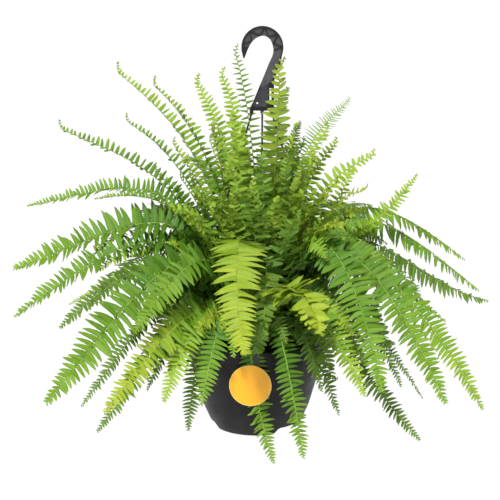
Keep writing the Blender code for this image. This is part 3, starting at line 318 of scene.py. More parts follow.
# A frond that reaches the tag keeps to one side of it, this far off and this far round it
LEAF_OFF_TAG = 0.6 * MM
LEAF_PAST_TAG = 3 * MM
LEAF_NEAR_TAG = 25 * MM

# How the pinnae of a kind of frond sit: spacing in mm, width against the spacing, share of the oblong
# outline, forward lean and curve in degrees, upward fold, droop, waves in mm, unevenness, curl of the tip
Style = namedtuple("Style", "spacing width oblong lean curve fold droop wave jitter curl")
STYLES = {
    "broad": Style(5.8, 0.95, 0.1, -6, 26, -6, 0.10, 1.2, 9, 0.3),
    "crumpled": Style(5.2, 1.95, 0.2, 4, 22, 0, 0.20, 3.2, 20, 0.1),
    "grown": Style(7.8, 0.88, 0.3, 2, 12, 5, 0.35, 0.9, 10, 0.0),
    "sparse": Style(10.0, 0.42, 0.3, 0, 0, 6, 0.20, 0.6, 5, 0.3),
    "narrow": Style(5.2, 0.42, 0.3, 4, 6, 2, 0.15, 0.6, 6, 0.2),
    "top": Style(10.5, 0.70, 0.75, 2, 2, 12, 0.35, 0.8, 9, 0.45),
    "young": Style(8.5, 1.00, 0.85, 8, 6, 10, 0.15, 1.1, 20, 0.5),
}
KINDS = {
    "front_4": "broad", "front_7": "crumpled", "top_7": "sparse", "top_9": "narrow",
    "top": "top", "inner": "young", "extra": "young",
}
# Upward fold, in degrees, of the fronds whose upper pinnae stand and whose lower ones lie end on
FOLDS = {
    "left_1": 29, "left_2": 22, "left_3": 22, "top_1": 33, "top_2": 34, "top_3": 33, "top_4": 32, "top_8": 6,
    "right_11": -24, "right_12": -24, "right_13": -24,
}

# Leaf colours by tone: old base of the frond, middle, young tip
LEAF_COLOURS = {
    "bright": ((0.125, 0.285, 0.010), (0.210, 0.390, 0.010), (0.500, 0.620, 0.030)),
    "fresh": ((0.056, 0.190, 0.005), (0.130, 0.350, 0.006), (0.430, 0.620, 0.030)),
    "mid": ((0.030, 0.125, 0.005), (0.080, 0.240, 0.006), (0.260, 0.470, 0.020)),
    "dark": ((0.022, 0.080, 0.004), (0.055, 0.155, 0.006), (0.160, 0.300, 0.014)),
}
# How soon the rachis turns from brown to green
STEM_GREENS = {"bright": 4.0, "fresh": 3.0, "mid": 2.6, "dark": 1.1}
RIB_COLOUR = (0.40, 0.50, 0.14)
STEM_COLOUR = (0.14, 0.11, 0.04)
BROWN_TIP = (0.25, 0.15, 0.05)
UNDERSIDE = (0.30, 0.38, 0.16)
LEAF_LIGHT = (0.34, 0.60, 0.02)
LEAF_GLOW = 0.16
VEINS = 95.0

# Other colours
POT_COLOURS = ((0.30, (0.007, 0.007, 0.008)), (0.62, (0.010, 0.010, 0.011)), (0.80, (0.017, 0.017, 0.017)))
POT_DUST = (0.075, 0.070, 0.062)
# Hook: the paler sunk faces are painted sheen and the darker rims painted shade, so that the relief shows
HOOK_WEB_PAINTED_SHEEN = (0.074, 0.074, 0.077)
HOOK_PANEL_PAINTED_SHEEN = (0.042, 0.039, 0.052)
HOOK_RIM_PAINTED_SHADE = (0.008, 0.008, 0.009)
ROD = (0.022, 0.022, 0.024)
# Painted highlight on the front rod's lower stretch
ROD_PAINTED_HIGHLIGHT = (0.16, 0.16, 0.17)
# Heights at which the front rod's painted highlight starts, and is full
ROD_HIGHLIGHT_FROM = -0.20
ROD_HIGHLIGHT_AT = -0.30
TAG_COLOURS = ((0.35, (0.86, 0.395, 0.008)), (0.65, (0.89, 0.420, 0.010)))
TAG_RING_COLOUR = (0.97, 0.72, 0.26)
SOIL_COLOURS = ((0.30, (0.010, 0.007, 0.004)), (0.55, (0.045, 0.028, 0.016)), (0.75, (0.110, 0.070, 0.040)))
SOIL_SPECK = (0.55, 0.52, 0.45)

# Stage: floor, the sky's strength, how high its white band reaches over the horizon, and its fade
FLOOR_Z = -1.4
FLOOR_RADIUS = 40.0
FLOOR_SIDES = 64
WORLD_LIGHT = 0.20
WALL_TOP = 0.16
WALL_FADE = 0.12
# Soft suns: where each stands, how wide it is in degrees, and its strength
SUNS = [
    ("key", (-0.45, -1.4, 1.5), 9, 3.45),
    ("rim", (0.9, 1.2, 1.3), 40, 0.6),
]

# How the plant was seen: pixels for the focal length and the middle, mm for the rest
VIEW_FOCAL = 1537.0
VIEW_MIDDLE = 250.0
VIEW_DISTANCE = 2200.0
VIEW_TILT = math.radians(13)
VIEW_TARGET_X = -18.0
VIEW_TARGET_Z = -305.0
# A reading is good to about this many mm
PLACE_STEP = 5
# Camera, in mm, with the lens to two places, and how many metres it sees
CAMERA_SENSOR = 36.0
CAMERA_LENS = round(CAMERA_SENSOR * VIEW_FOCAL / (2 * VIEW_MIDDLE), 2)
CAMERA_SEES = 100.0

Frond = namedtuple("Frond", "name rise bend tip half_width roll tone ring")
Seen = namedtuple("Seen", Frond._fields)

# Each frond's rachis is one cubic curve from its stem in the soil to its tip. rise and bend are
# the curve's handles. A Frond's points are (x, y, height over the rim) in mm from the pot's axis.
# A Seen frond's points were read off the photograph, as (pixels across, pixels down,
# depth y in mm), where the depth is a guess.
# half_width is the longest leaflet in mm, roll turns the blade's face about the rachis.
FROND_TABLE = [
    Seen("front_4", (238, 120, -80), (229, 315, -190), (244.6, 356, -235), 42, 0, "bright", "middle"),
    Seen("front_7", (262, 270, -110), (310, 270, -200), (318, 334, -255), 42, 0, "bright", "middle"),
    Frond("front_5", (-5, -132, 115), (-5, -93, -65), (25, -107, -160), 24, 0, "mid", "outer"),
    Seen("front_6", (272, 270, -112), (291, 390, -122), (302, 458, -140), 24, 0, "mid", "outer"),
    Seen("front_3", (230, 255, -90), (214, 345, -145), (202, 405, -165), 27, -20, "mid", "outer"),
    Seen("front_1", (215, 260, -90), (183, 345, -155), (164, 402, -180), 24, -30, "fresh", "outer"),
    Seen("front_2", (215, 270, -60), (190, 370, -100), (187, 432, -112), 20, -30, "dark", "outer"),
    Seen("front_8", (285, 275, -100), (312, 345, -115), (320, 392, -120), 22, 0, "dark", "outer"),
    Seen("left_7", (215, 160, -70), (120, 320, -165), (46, 405, -200), 38, -60, "mid", "outer"),
    Seen("left_2", (195, 170, -5), (150, 219, -15), (12, 269, -20), 38, -38, "mid", "outer"),
    Seen("left_1", (205, 135, 15), (110, 190, 45), (28, 207, 60), 24, -30, "mid", "middle"),
    Seen("left_3", (195, 190, -20), (125, 235, -45), (16, 317, -60), 30, -30, "mid", "outer"),
    Seen("left_9", (215, 260, -90), (160, 345, -180), (106, 413, -225), 28, -50, "bright", "outer"),
    Seen("left_4", (205, 215, -30), (140, 265, -65), (68, 303, -85), 16, -40, "fresh", "middle"),
    Seen("left_5", (205, 200, -10), (140, 240, -40), (97, 271, -60), 22, -30, "dark", "middle"),
    Seen("left_6", (200, 215, -40), (120, 270, -90), (61, 327, -115), 26, -35, "dark", "outer"),
    Seen("left_8", (205, 220, -30), (130, 340, -75), (80, 407, -95), 20, -30, "dark", "outer"),
    Seen("left_10", (210, 270, -50), (150, 370, -110), (98, 433, -130), 22, -30, "dark", "outer"),
    Seen("left_11", (212, 275, -30), (170, 340, -55), (148, 392, -70), 20, -20, "dark", "outer"),
    Seen("right_5", (310, 130, -90), (365, 300, -180), (384, 393, -215), 36, 30, "mid", "outer"),
    Seen("right_8", (320, 150, -55), (400, 300, -135), (445, 403, -170), 33, 40, "mid", "outer"),
    Seen("right_9", (325, 170, -20), (430, 310, -60), (482, 411, -80), 28, 45, "fresh", "outer"),
    Seen("right_3", (293, 262, -105), (333, 330, -155), (366, 398, -185), 26, 20, "fresh", "outer"),
    Seen("right_4", (295, 240, -30), (350, 365, -70), (421, 441, -95), 24, 30, "dark", "outer"),
    Seen("right_11", (320, 140, 5), (410, 290, 20), (488, 301, 30), 32, 24, "dark", "middle"),
    Seen("right_12", (320, 150, 30), (400, 225, 65), (478, 289, 90), 30, 24, "mid", "middle"),
    Seen("right_13", (320, 150, 50), (395, 205, 105), (465, 261, 140), 29, 24, "mid", "middle"),
    Seen("right_1", (310, 250, 0), (375, 235, 15), (418, 173, 20), 22, 40, "fresh", "middle"),
    Seen("right_2", (290, 280, -60), (320, 355, -90), (339, 417, -105), 20, 0, "dark", "outer"),
    Seen("right_6", (300, 235, -50), (378, 325, -95), (401, 388, -115), 20, 20, "dark", "outer"),
    Seen("right_7", (305, 235, -35), (385, 340, -65), (423, 399, -75), 14, 20, "dark", "outer"),
    Seen("right_10", (320, 190, -5), (400, 290, -20), (445, 320, -30), 20, 25, "mid", "outer"),
    Seen("top_8", (272, 220, -25), (280, 110, -28), (277, 54, -25), 32, -30, "bright", "heart"),
    Seen("top_7", (262, 200, 30), (250, 90, 60), (233, 43, 70), 26, 20, "mid", "heart"),
    Seen("top_1", (225, 143, 40), (160, 112, 90), (110, 65, 120), 22, 0, "fresh", "inner"),
    Seen("top_2", (228, 160, 30), (185, 112, 80), (146, 78, 110), 21, 18, "fresh", "heart"),
    Seen("top_3", (215, 185, 5), (165, 143, 20), (121, 116, 30), 17, -15, "mid", "inner"),
    Seen("top_4", (200, 165, 20), (120, 160, 45), (51, 126, 60), 21, -20, "mid", "middle"),
    Seen("top_5", (248, 190, 40), (217, 115, 90), (190, 74, 120), 20, -40, "fresh", "heart"),
    Seen("top_6", (245, 190, 25), (240, 85, 55), (216, 69, 60), 20, -45, "fresh", "heart"),
    Seen("top_9", (275, 200, 25), (303, 130, 70), (353, 101, 100), 30, 20, "mid", "heart"),
    Seen("top_10", (285, 215, 10), (308, 145, 30), (332, 124, 40), 24, 20, "fresh", "inner"),
    Seen("top_11", (285, 230, 30), (312, 155, 60), (341, 139, 75), 22, 20, "fresh", "inner"),
    Seen("top_12", (285, 215, -5), (330, 170, 5), (379, 152, 15), 24, 40, "fresh", "middle"),
    Seen("top_13", (300, 250, 25), (335, 195, 45), (357, 167, 60), 20, 30, "mid", "middle"),
    Seen("top_14", (300, 230, -30), (335, 190, -60), (370, 190, -95), 24, 20, "bright", "middle"),
    Seen("inner_1", (240, 250, -25), (225, 190, -65), (190, 195, -95), 22, -20, "fresh", "inner"),
    Seen("inner_2", (248, 250, -40), (245, 180, -75), (225, 160, -85), 22, 0, "fresh", "inner"),
    Seen("inner_3", (262, 250, -45), (264, 190, -70), (262, 150, -65), 22, 0, "mid", "heart"),
    Seen("inner_4", (275, 255, -40), (290, 200, -75), (300, 172, -85), 22, 0, "fresh", "inner"),
    Seen("inner_5", (285, 250, -40), (305, 200, -85), (330, 200, -115), 22, 20, "fresh", "inner"),
    Seen("inner_6", (285, 245, -60), (330, 225, -120), (352, 240, -155), 24, 0, "mid", "middle"),
    Seen("inner_7", (275, 260, -70), (290, 220, -140), (300, 215, -180), 22, 0, "fresh", "middle"),
    Seen("inner_8", (235, 250, -60), (200, 205, -110), (180, 215, -145), 22, -20, "fresh", "inner"),
    Seen("inner_9", (265, 230, -70), (255, 200, -115), (230, 189, -125), 16, 0, "bright", "inner"),
    Seen("inner_10", (225, 245, -20), (190, 205, -50), (163, 207, -65), 22, -30, "mid", "inner"),
    Frond("back_1", (75, 55, 190), (190, 140, 110), (265, 205, -10), 28, 0, "mid", "outer"),
    Frond("back_2", (55, 70, 230), (140, 210, 170), (195, 290, 80), 30, 0, "mid", "outer"),
    Frond("back_3", (50, 75, 130), (115, 165, 10), (140, 200, -90), 26, 0, "dark", "outer"),
    Frond("back_4", (30, 75, 240), (75, 225, 230), (105, 310, 190), 28, 0, "fresh", "middle"),
    Frond("back_5", (25, 85, 190), (60, 225, 70), (75, 290, -45), 32, 0, "mid", "middle"),
    Frond("back_6", (5, 75, 260), (5, 230, 225), (15, 320, 160), 30, 0, "mid", "outer"),
    Frond("back_7", (0, 80, 130), (0, 160, 20), (5, 185, -120), 28, 0, "dark", "outer"),
    Frond("back_8", (-25, 85, 190), (-60, 225, 80), (-75, 300, -25), 32, 0, "mid", "middle"),
    Frond("back_9", (-25, 70, 245), (-75, 220, 235), (-115, 310, 195), 28, 0, "fresh", "middle"),
    Frond("back_10", (-50, 75, 130), (-105, 160, 10), (-130, 195, -100), 26, 0, "dark", "outer"),
    Frond("back_11", (-55, 70, 230), (-140, 200, 165), (-200, 280, 75), 30, 0, "mid", "outer"),
    Frond("back_12", (-75, 50, 190), (-190, 135, 100), (-265, 200, -20), 30, 0, "mid", "outer"),
    Frond("back_13", (-80, 50, 240), (-195, 130, 150), (-262, 190, 62), 26, 0, "fresh", "outer"),
    Frond("back_14", (10, 45, 230), (25, 140, 320), (50, 215, 330), 26, 0, "fresh", "inner"),
]


def place_of(across, down, depth):
    """(x, y, height over the rim) in mm, from the pot's axis, of a point that was read."""
    cos, sin = math.cos(VIEW_TILT), math.sin(VIEW_TILT)
    slope = (VIEW_MIDDLE - down) / VIEW_FOCAL
    up = (slope * (VIEW_DISTANCE + depth * cos) - depth * sin) / (cos + slope * sin)
    distance = VIEW_DISTANCE + depth * cos - up * sin
    x = (across - VIEW_MIDDLE) * distance / VIEW_FOCAL + VIEW_TARGET_X - POT_X / MM
    height = up + VIEW_TARGET_Z - RIM_Z / MM
    return PLACE_STEP * round(x / PLACE_STEP), depth, PLACE_STEP * round(height / PLACE_STEP)


def placed(row):
    """A row of the table as a Frond with its points in mm."""
    if isinstance(row, Frond):
        return row
    points = [place_of(*point) for point in (row.rise, row.bend, row.tip)]
    return Frond(row.name, *points, *row[4:])


FRONDS = [placed(row) for row in FROND_TABLE]

# Fronds that grow from one knob of rootstock, second from the first's root
TWINS = {
    "left_5": "left_4", "left_11": "left_10", "right_7": "right_6", "top_11": "top_10",
    "top_13": "top_12", "inner_2": "inner_1", "inner_9": "inner_3", "inner_5": "inner_4",
    "inner_7": "inner_6", "inner_10": "inner_8", "back_2": "back_1", "back_5": "back_4",
    "back_7": "back_6", "back_9": "back_8", "back_11": "back_10", "back_13": "back_12",
    "back_14": "back_3",
}

# Younger fronds that fill the centre, in the scene alone
EXTRAS = [
    Frond("extra_1", (-15, -30, 190), (-25, -45, 290), (-36, -45, 335), 24, 0, "fresh", "heart"),
    Frond("extra_2", (-35, -15, 170), (-50, -30, 270), (-66, -30, 320), 22, -20, "bright", "inner"),
    Frond("extra_3", (-8, -20, 160), (-16, -15, 250), (-20, -12, 315), 20, 0, "fresh", "inner"),
    Frond("extra_4", (35, -20, 170), (50, -30, 260), (52, -30, 315), 22, 10, "fresh", "inner"),
    Frond("extra_5", (50, -25, 150), (75, -40, 230), (78, -45, 275), 22, 20, "fresh", "inner"),
    Frond("extra_6", (30, -45, 150), (42, -60, 230), (42, -62, 285), 20, 0, "mid", "inner"),
    Frond("extra_7", (-55, -30, 140), (-85, -45, 215), (-95, -60, 255), 22, -30, "fresh", "inner"),
    Frond("extra_8", (-60, -45, 150), (-115, -80, 70), (-150, -100, -25), 26, -40, "dark", "outer"),
    Frond("extra_9", (-70, -30, 160), (-125, -60, 90), (-175, -80, 10), 26, -40, "dark", "outer"),
    Frond("extra_10", (-50, -60, 130), (-90, -100, 55), (-120, -125, -30), 26, -40, "mid", "outer"),
    Frond("extra_11", (60, -45, 150), (115, -80, 80), (150, -110, -20), 26, 40, "dark", "outer"),
    Frond("extra_12", (70, -20, 160), (140, -50, 90), (190, -70, -5), 26, 40, "dark", "outer"),
    Frond("extra_13", (45, -60, 130), (80, -110, 60), (105, -130, -35), 24, 20, "dark", "outer"),
    Frond("extra_14", (50, -40, 160), (95, -75, 190), (125, -95, 175), 22, 20, "bright", "inner"),
    Frond("extra_15", (60, -20, 165), (120, -45, 200), (160, -60, 190), 22, 20, "fresh", "inner"),
    Frond("extra_16", (-20, 50, 180), (-45, 110, 260), (-60, 150, 270), 24, 0, "fresh", "inner"),
    Frond("extra_17", (25, 50, 180), (50, 105, 250), (75, 150, 255), 24, 0, "mid", "inner"),
    Frond("extra_18", (-6, -78, 95), (4, -128, 66), (1, -126, 2), 25, 0, "dark", "outer"),
    Frond("extra_19", (15, -60, 190), (16, -150, 150), (8, -150, 30), 26, 0, "dark", "middle"),
    Frond("extra_20", (45, -50, 150), (75, -90, 215), (95, -115, 225), 20, 10, "bright", "inner"),
    Frond("extra_21", (50, -40, 150), (85, -75, 225), (118, -85, 243), 20, 20, "bright", "inner"),
    Frond("extra_22", (40, -55, 140), (70, -115, 180), (110, -150, 195), 22, 10, "bright", "inner"),
]

# Fronds that stay alone, so that the tag and the pot's front show
ALONE = ("front_4", "front_5", "front_6", "front_7", "right_7")
# Fronds with two younger ones, as each dark frond has
CROWDED = ("inner_1", "inner_2", "inner_3", "inner_4", "inner_8", "inner_10", "top_5", "top_6",
           "front_1", "front_3")


def at_azimuth(azimuth, radius, z):
    a = math.radians(azimuth)
    return Vector((POT_X + radius * math.cos(a), radius * math.sin(a), z))


def around(azimuth):
    """Unit vectors out from the pot's axis at an azimuth, and across it."""
    a = math.radians(azimuth)
    return Vector((math.cos(a), math.sin(a), 0)), Vector((-math.sin(a), math.cos(a), 0))


def from_axis(points, azimuth):
    """How far points lie from the pot's axis out along an azimuth, and across it."""
    a = math.radians(azimuth)
    x, y = points[:, 0] - POT_X, points[:, 1]
    return x * math.cos(a) + y * math.sin(a), y * math.cos(a) - x * math.sin(a)


def circle(sides):
    """Cosine and sine of equal steps once round."""
    turns = [2 * math.pi * k / sides for k in range(sides)]
    return [(math.cos(turn), math.sin(turn)) for turn in turns]


def wall_radius(drop):
    """Outer radius of the wall at heights under the rim, in metres."""
    drops, radii = zip(*WALL_PROFILE)
    return np.interp(drop, np.array(drops) * MM, np.array(radii) * MM)


def smooth_curve(points, steps):
    """Catmull-Rom curve through the points, steps spans between each pair."""
    pts = [np.array(p, float) for p in points]
    ends = [2 * pts[0] - pts[1]] + pts + [2 * pts[-1] - pts[-2]]
    out = []
    for i in range(1, len(ends) - 2):
        a, b, c, d = ends[i - 1:i + 3]
        for k in range(steps):
            t = k / steps
            out.append(0.5 * (2 * b + (c - a) * t + (2 * a - 5 * b + 4 * c - d) * t * t
                              + (3 * b - a - 3 * c + d) * t ** 3))
    out.append(pts[-1])
    return [tuple(p) for p in out]


def strand_route(top_x, azimuth, bow_out, bow_x):
    """The rod's middle line, from the crossbar to the rim."""
    start = Vector((top_x * MM, 0, STRAND_TOP_Z))
    end = at_azimuth(azimuth, RIM_RADIUS, RIM_Z + GAP + CLIP_PLATE / 2)
    out, _ = around(azimuth)
    route = []
    for i in range(STRAND_POINTS):
        t = i / (STRAND_POINTS - 1)
        swell = math.sin(math.pi * t)
        point = start.lerp(end, t) + out * (bow_out * MM * swell)
        point.x += bow_x * MM * swell
        route.append(point)
    return route


# Rachis
def from_rim(point):
    """The place in metres of a point in mm from the pot's axis, its height over the rim."""
    return np.array([POT_X / MM + point[0], point[1], RIM_Z / MM + point[2]]) * MM


def turned_about_pot(point, degrees):
    """A point that is given from the pot's axis, turned about it."""
    a = math.radians(degrees)
    x, y, z = point
    return (x * math.cos(a) - y * math.sin(a), x * math.sin(a) + y * math.cos(a), z)


def rachis_handles(frond, place, sway, lift):
    """The four points of the cubic curve, in metres."""
    root = from_rim((*place, (ROOT_RISE - SOIL_DROP) / MM))
    rise = from_rim(turned_about_pot((*frond.rise[:2], frond.rise[2] + lift), sway))
    bend = from_rim(turned_about_pot((*frond.bend[:2], frond.bend[2] + lift / 2), sway / 2))
    return [root, rise, bend, from_rim(frond.tip)]


def cubic(handles, t):
    a, b, c, d = handles
    t = np.asarray(t)[:, None]
    return (1 - t) ** 3 * a + 3 * t * (1 - t) ** 2 * b + 3 * t * t * (1 - t) * c + t ** 3 * d


def units(v):
    return v / np.linalg.norm(v, axis=-1, keepdims=True)


def rachis_points(handles, count):
    """Points at equal steps along the curve, with the plumb stretch in the soil before them."""
    fine = cubic(handles, np.linspace(0, 1, CURVE_POINTS))
    steps = np.linalg.norm(np.diff(fine, axis=0), axis=1)
    along = np.concatenate([[0], np.cumsum(steps)])
    wanted = np.linspace(0, along[-1], count)
    even = np.stack([np.interp(wanted, along, fine[:, k]) for k in range(3)], axis=1)
    foot = handles[0] - np.array([0, 0, ROOT_DEPTH])
    return np.vstack([foot, even])


def nearest(route, other):
    """The smallest distance between the points of one polyline and the spans of another."""
    start, span = other[:-1], np.diff(other, axis=0)
    square = (span ** 2).sum(axis=1)
    apart = route[:, None, :] - start[None]
    t = np.clip((apart * span[None]).sum(axis=2) / square[None], 0, 1)
    gap = apart - t[..., None] * span[None]
    return float(np.sqrt((gap ** 2).sum(axis=2).min()))


def hits_pot(route):
    """True where the rachis comes too near the pot's rim or wall, a clip or the tag."""
    r = np.hypot(route[:, 0] - POT_X, route[:, 1])
    drop = RIM_Z - route[:, 2]
    beside_rim = np.abs(r - RIM_RADIUS + POT_WALL / 2) < RIM_CLEAR
    over_rim = beside_rim & (drop > -RIM_CLEAR_ABOVE) & (drop < RIM_BAND)
    inside_wall = (drop > 0) & (r < RIM_RADIUS + WALL_CLEAR_OUT) & (r > RIM_RADIUS - WALL_CLEAR_IN)
    out, across = from_axis(route, TAG_AZIMUTH)
    reach = TAG_DIAMETER / 2 + TAG_CLEAR_SIDE
    tag = (np.abs(across) < reach) & (np.abs(drop - TAG_CENTRE_DROP) < reach)
    tag &= (out > TAG_STANDOFF - TAG_CLEAR_BEHIND) & (out < TAG_STANDOFF + TAG_THICKNESS + TAG_CLEAR_FRONT)
    hit = over_rim | inside_wall | tag
    for _, _, azimuth, _, _ in STRANDS:
        out, across = from_axis(route, azimuth)
        beside = np.abs(across) < CLIP_WIDTH / 2 + CLIP_CLEAR
        near = (out > RIM_RADIUS - CLIP_REACH_IN) & (out < RIM_RADIUS + CLIP_PLATE + CLIP_CLEAR)
        hit |= beside & near & (drop > -CLIP_PLATE - CLIP_CLEAR) & (drop < CLIP_OUTER_LEG + CLIP_CLEAR)
    return bool(hit.any())


def nudges():
    """Small turns about the pot's axis and lifts, the smallest first."""
    tries = [(sway, lift) for sway in SWAYS for lift in LIFTS]
    return sorted(tries, key=lambda pair: (abs(pair[0]) + LIFT_WEIGHT * abs(pair[1]), pair))


def root_places(frond, lead_place):
    """Places for the stem's foot as (x, y) in mm from the pot's axis, the preferred one first."""
    if lead_place:
        x, y = lead_place
        ahead = math.atan2(frond.tip[1] - y, frond.tip[0] - x)
        turns = [ahead + math.radians(turn) for turn in sorted(TWIN_TURNS, key=abs)]
        reach = TWIN_SPACING / MM
        return [(x + reach * math.cos(turn), y + reach * math.sin(turn)) for turn in turns]
    azimuth = math.degrees(math.atan2(frond.bend[1], frond.bend[0]))
    places = [(turn, shift) for turn in ROOT_TURNS for shift in ROOT_SHIFTS]
    places.sort(key=lambda place: abs(place[0]) + SHIFT_WEIGHT * abs(place[1]))
    polar = [(ROOT_RING[frond.ring] + shift, math.radians(azimuth + turn)) for turn, shift in places]
    return [(reach * math.cos(a), reach * math.sin(a)) for reach, a in polar]


def plan_routes(obstacles):
    """A clear curve for every frond: {name: route}."""
    routes = {}
    for frond in FRONDS:
        routes[frond.name] = clear_route(frond, routes, obstacles)
    return routes


def clear_route(frond, routes, obstacles):
    """The first place and nudge at which the rachis keeps its distance from all before it."""
    lead = routes.get(TWINS.get(frond.name))
    spacing = TWIN_TO_OTHERS if lead else ROOT_SPACING
    for place in root_places(frond, lead and lead["place"]):
        for sway, lift in nudges():
            handles = rachis_handles(frond, place, sway, lift)
            if any(np.linalg.norm(handles[0] - other["handles"][0]) < spacing
                   for other in routes.values() if other is not lead):
                break
            points = rachis_points(handles, ROUTE_POINTS)
            if hits_pot(points) or not all(clear_of(points, line) for line in obstacles):
                continue
            # Twins share their knob, so their lowest points aren't compared
            skips = [1 if other is lead else 0 for other in routes.values()]
            if all(clear_of(points[skip:], other["points"][skip:])
                   for skip, other in zip(skips, routes.values())):
                return {"handles": handles, "points": points, "place": place}
    raise RuntimeError("no clear route for " + frond.name)


def clear_of(route, other):
    """True where the routes' boxes, or the routes themselves, are ROUTE_GAP apart."""
    low, high = np.maximum(route.min(0), other.min(0)), np.minimum(route.max(0), other.max(0))
    return bool((low - high > ROUTE_GAP).any()) or nearest(route, other) >= ROUTE_GAP


def frames(points, roll):
    """Tangent, across and face direction at every point of a rachis, rolled by degrees."""
    heading = points[-1] - points[1]
    heading[2] = 0
    level = np.cross(units(heading), [0.0, 0.0, 1.0])
    cos, sin = math.cos(math.radians(roll)), math.sin(math.radians(roll))
    made = []
    for i in range(len(points)):
        ahead = units(points[min(i + 1, len(points) - 1)] - points[max(i - 1, 0)])
        across = units(level - ahead * float(level @ ahead))
        face = np.cross(across, ahead)
        made.append((ahead, across * cos - face * sin, face * cos + across * sin))
    return np.array(made).swapaxes(0, 1)


# Mesh helpers
def linked(name, data):
    """A new object of this data, in the scene."""
    obj = bpy.data.objects.new(name, data)
    bpy.context.scene.collection.objects.link(obj)
    return obj


def outward_mesh(name, points, faces):
    """A mesh whose faces all look outward."""
    mesh = bpy.data.meshes.new(name)
    mesh.from_pydata([tuple(p) for p in points], [], [tuple(int(i) for i in f) for f in faces])
    bm = bmesh.new()
    bm.from_mesh(mesh)
    bmesh.ops.recalc_face_normals(bm, faces=bm.faces)
    bm.to_mesh(mesh)
    bm.free()
    return mesh


def mesh_piece(name, points, faces, material, slot):
    """A smooth piece from points and faces, riding on the one body."""
    mesh = outward_mesh(name, points, faces)
    mesh.polygons.foreach_set("use_smooth", [True] * len(mesh.polygons))
    mesh.materials.append(material)
    obj = linked(name, mesh)
    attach(obj, "root")
    return obj


def point_values(mesh, name, values):
    """One number per point, for the shaders."""
    layer = mesh.attributes.new(name, "FLOAT", "POINT")
    layer.data.foreach_set("value", np.asarray(values, np.float32))


def sharpen(obj, degrees):
    """Marks edges sharper than the angle, so that flat faces stay crisp under smooth shading."""
    bm = bmesh.new()
    bm.from_mesh(obj.data)
    limit = math.radians(degrees)
    for edge in bm.edges:
        if len(edge.link_faces) == 2 and edge.calc_face_angle(0) > limit:
            edge.smooth = False
    bm.to_mesh(obj.data)
    bm.free()


def loft(rings, closed=False):
    """Points and faces of a skin over equal rings, capped on both ends unless closed."""
    sides, count = len(rings[0]), len(rings)
    points = [p for ring in rings for p in ring]
    faces = []
    for i in range(count if closed else count - 1):
        a, b = i * sides, (i + 1) % count * sides
        for j in range(sides):
            k = (j + 1) % sides
            faces.append((a + j, a + k, b + k, b + j))
    if not closed:
        faces.append(tuple(range(sides))[::-1])
        faces.append(tuple(range((count - 1) * sides, count * sides)))
    return points, faces


def joined(*shapes):
    """Several (points, faces) as one."""
    points, faces = [], []
    for own_points, own_faces in shapes:
        start = len(points)
        points += list(own_points)
        faces += [tuple(start + k for k in face) for face in own_faces]
    return points, faces


def apply_modifiers(obj):
    graph = bpy.context.evaluated_depsgraph_get()
    made = bpy.data.meshes.new_from_object(obj.evaluated_get(graph))
    obj.modifiers.clear()
    obj.data = made


def cut(obj, cutters):
    """Cuts every (points, faces) in cutters out of the object."""
    helpers = [linked("cutter", outward_mesh("cutter", *shape)) for shape in cutters]
    for helper in helpers:
        modifier = obj.modifiers.new("cut", "BOOLEAN")
        modifier.operation = "DIFFERENCE"
        modifier.solver = "EXACT"
        modifier.object = helper
    apply_modifiers(obj)
    for helper in helpers:
        bpy.data.objects.remove(helper, do_unlink=True)


